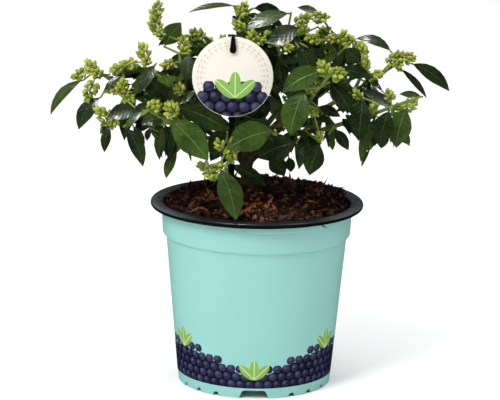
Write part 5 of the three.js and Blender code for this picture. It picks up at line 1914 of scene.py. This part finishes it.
def make_floor():
    deselect()
    bpy.ops.mesh.primitive_plane_add(size=8, location=(0, 0, 0))
    floor = bpy.context.object
    floor.name = "floor"
    finish = Finish("floor_pale", Roughness=0.9, Base_Color=PALE)
    floor.data.materials.append(finish.material)
    floor.visible_glossy = False


def make_surround():
    """A pale surround that is brighter above and to the left."""
    world = bpy.data.worlds.new("surround")
    world.use_nodes = True
    nodes, links = world.node_tree.nodes, world.node_tree.links
    way = nodes.new("ShaderNodeSeparateXYZ")
    links.new(nodes.new("ShaderNodeTexCoord").outputs["Generated"], way.inputs[0])
    strength = nodes.new("ShaderNodeMath")
    strength.operation = "MULTIPLY"
    for k, (axis, limits) in enumerate((("Z", SURROUND_RISE), ("X", SURROUND_ASIDE))):
        made = nodes.new("ShaderNodeMapRange")
        links.new(way.outputs[axis], made.inputs["Value"])
        for name, limit in zip(("From Min", "From Max", "To Min", "To Max"), limits):
            made.inputs[name].default_value = limit
        links.new(made.outputs["Result"], strength.inputs[k])
    links.new(strength.outputs[0], nodes["Background"].inputs["Strength"])
    nodes["Background"].inputs["Color"].default_value = (*WHITE, 1)
    world.cycles_visibility.glossy = False
    bpy.context.scene.world = world
    bpy.context.scene.view_settings.view_transform = "Standard"


# ---------- The whole ----------

place_camera()
make_floor()
make_surround()
for light_row in LIGHTS:
    area_light(light_row)
make_pot(pot_finish())
# The rim's black plastic has dust, and a painted grey sheen from 2.4 mm below its top.
make_rim(black_plastic("rim_black_plastic", 0.3, RIM_HEIGHT - 2.4))
make_tag(tag_finish())
make_stick(black_plastic("stick_black_plastic", 0.15))
make_limbs(bark_finish())
make_soil(soil_finish("soil_peat", rgb(7, 4, 3), rgb(38, 23, 17), 4), [
    soil_finish("soil_dark", rgb(8, 5, 4), rgb(38, 23, 16), 1.8),
    soil_finish("soil_bark_red", rgb(34, 19, 13), rgb(104, 61, 42), 1.8),
    soil_finish("soil_fibre", rgb(84, 52, 32), rgb(150, 100, 62), 2.5),
    soil_finish("soil_feed_grain", rgb(126, 68, 40), rgb(192, 122, 78), 2.0, 0.6),
])
make_foliage({
    "leaves": [
        leaf_finish("leaf_dark", rgb(17, 27, 12), rgb(39, 53, 24), rgb(70, 90, 46), 0.2, 0.25),
        leaf_finish("leaf_mid", rgb(30, 46, 17), rgb(58, 78, 31), rgb(98, 118, 58), 0.2, 0.25),
        leaf_finish("leaf_fresh", rgb(34, 54, 18), rgb(61, 84, 30), rgb(104, 124, 58), 0.2, 0.25),
        leaf_finish("leaf_underside", rgb(50, 70, 36), rgb(80, 100, 52), rgb(112, 132, 74), 0.5, 0.0),
    ],
    "twigs": [
        stem_finish("stem_brown_green", rgb(84, 74, 38), rgb(118, 118, 54)),
        stem_finish("shoot_green", rgb(78, 98, 36), rgb(116, 134, 54)),
        stem_finish("twig_light", rgb(92, 114, 38), rgb(134, 152, 62)),
    ],
    "bud_clusters": [
        bud_finish("bud_green", rgb(100, 120, 34), rgb(136, 150, 56)),
        bud_finish("bud_yellow", rgb(128, 142, 42), rgb(170, 178, 76)),
        bud_finish("bud_blush", rgb(134, 128, 56), rgb(164, 154, 82)),
    ],
})
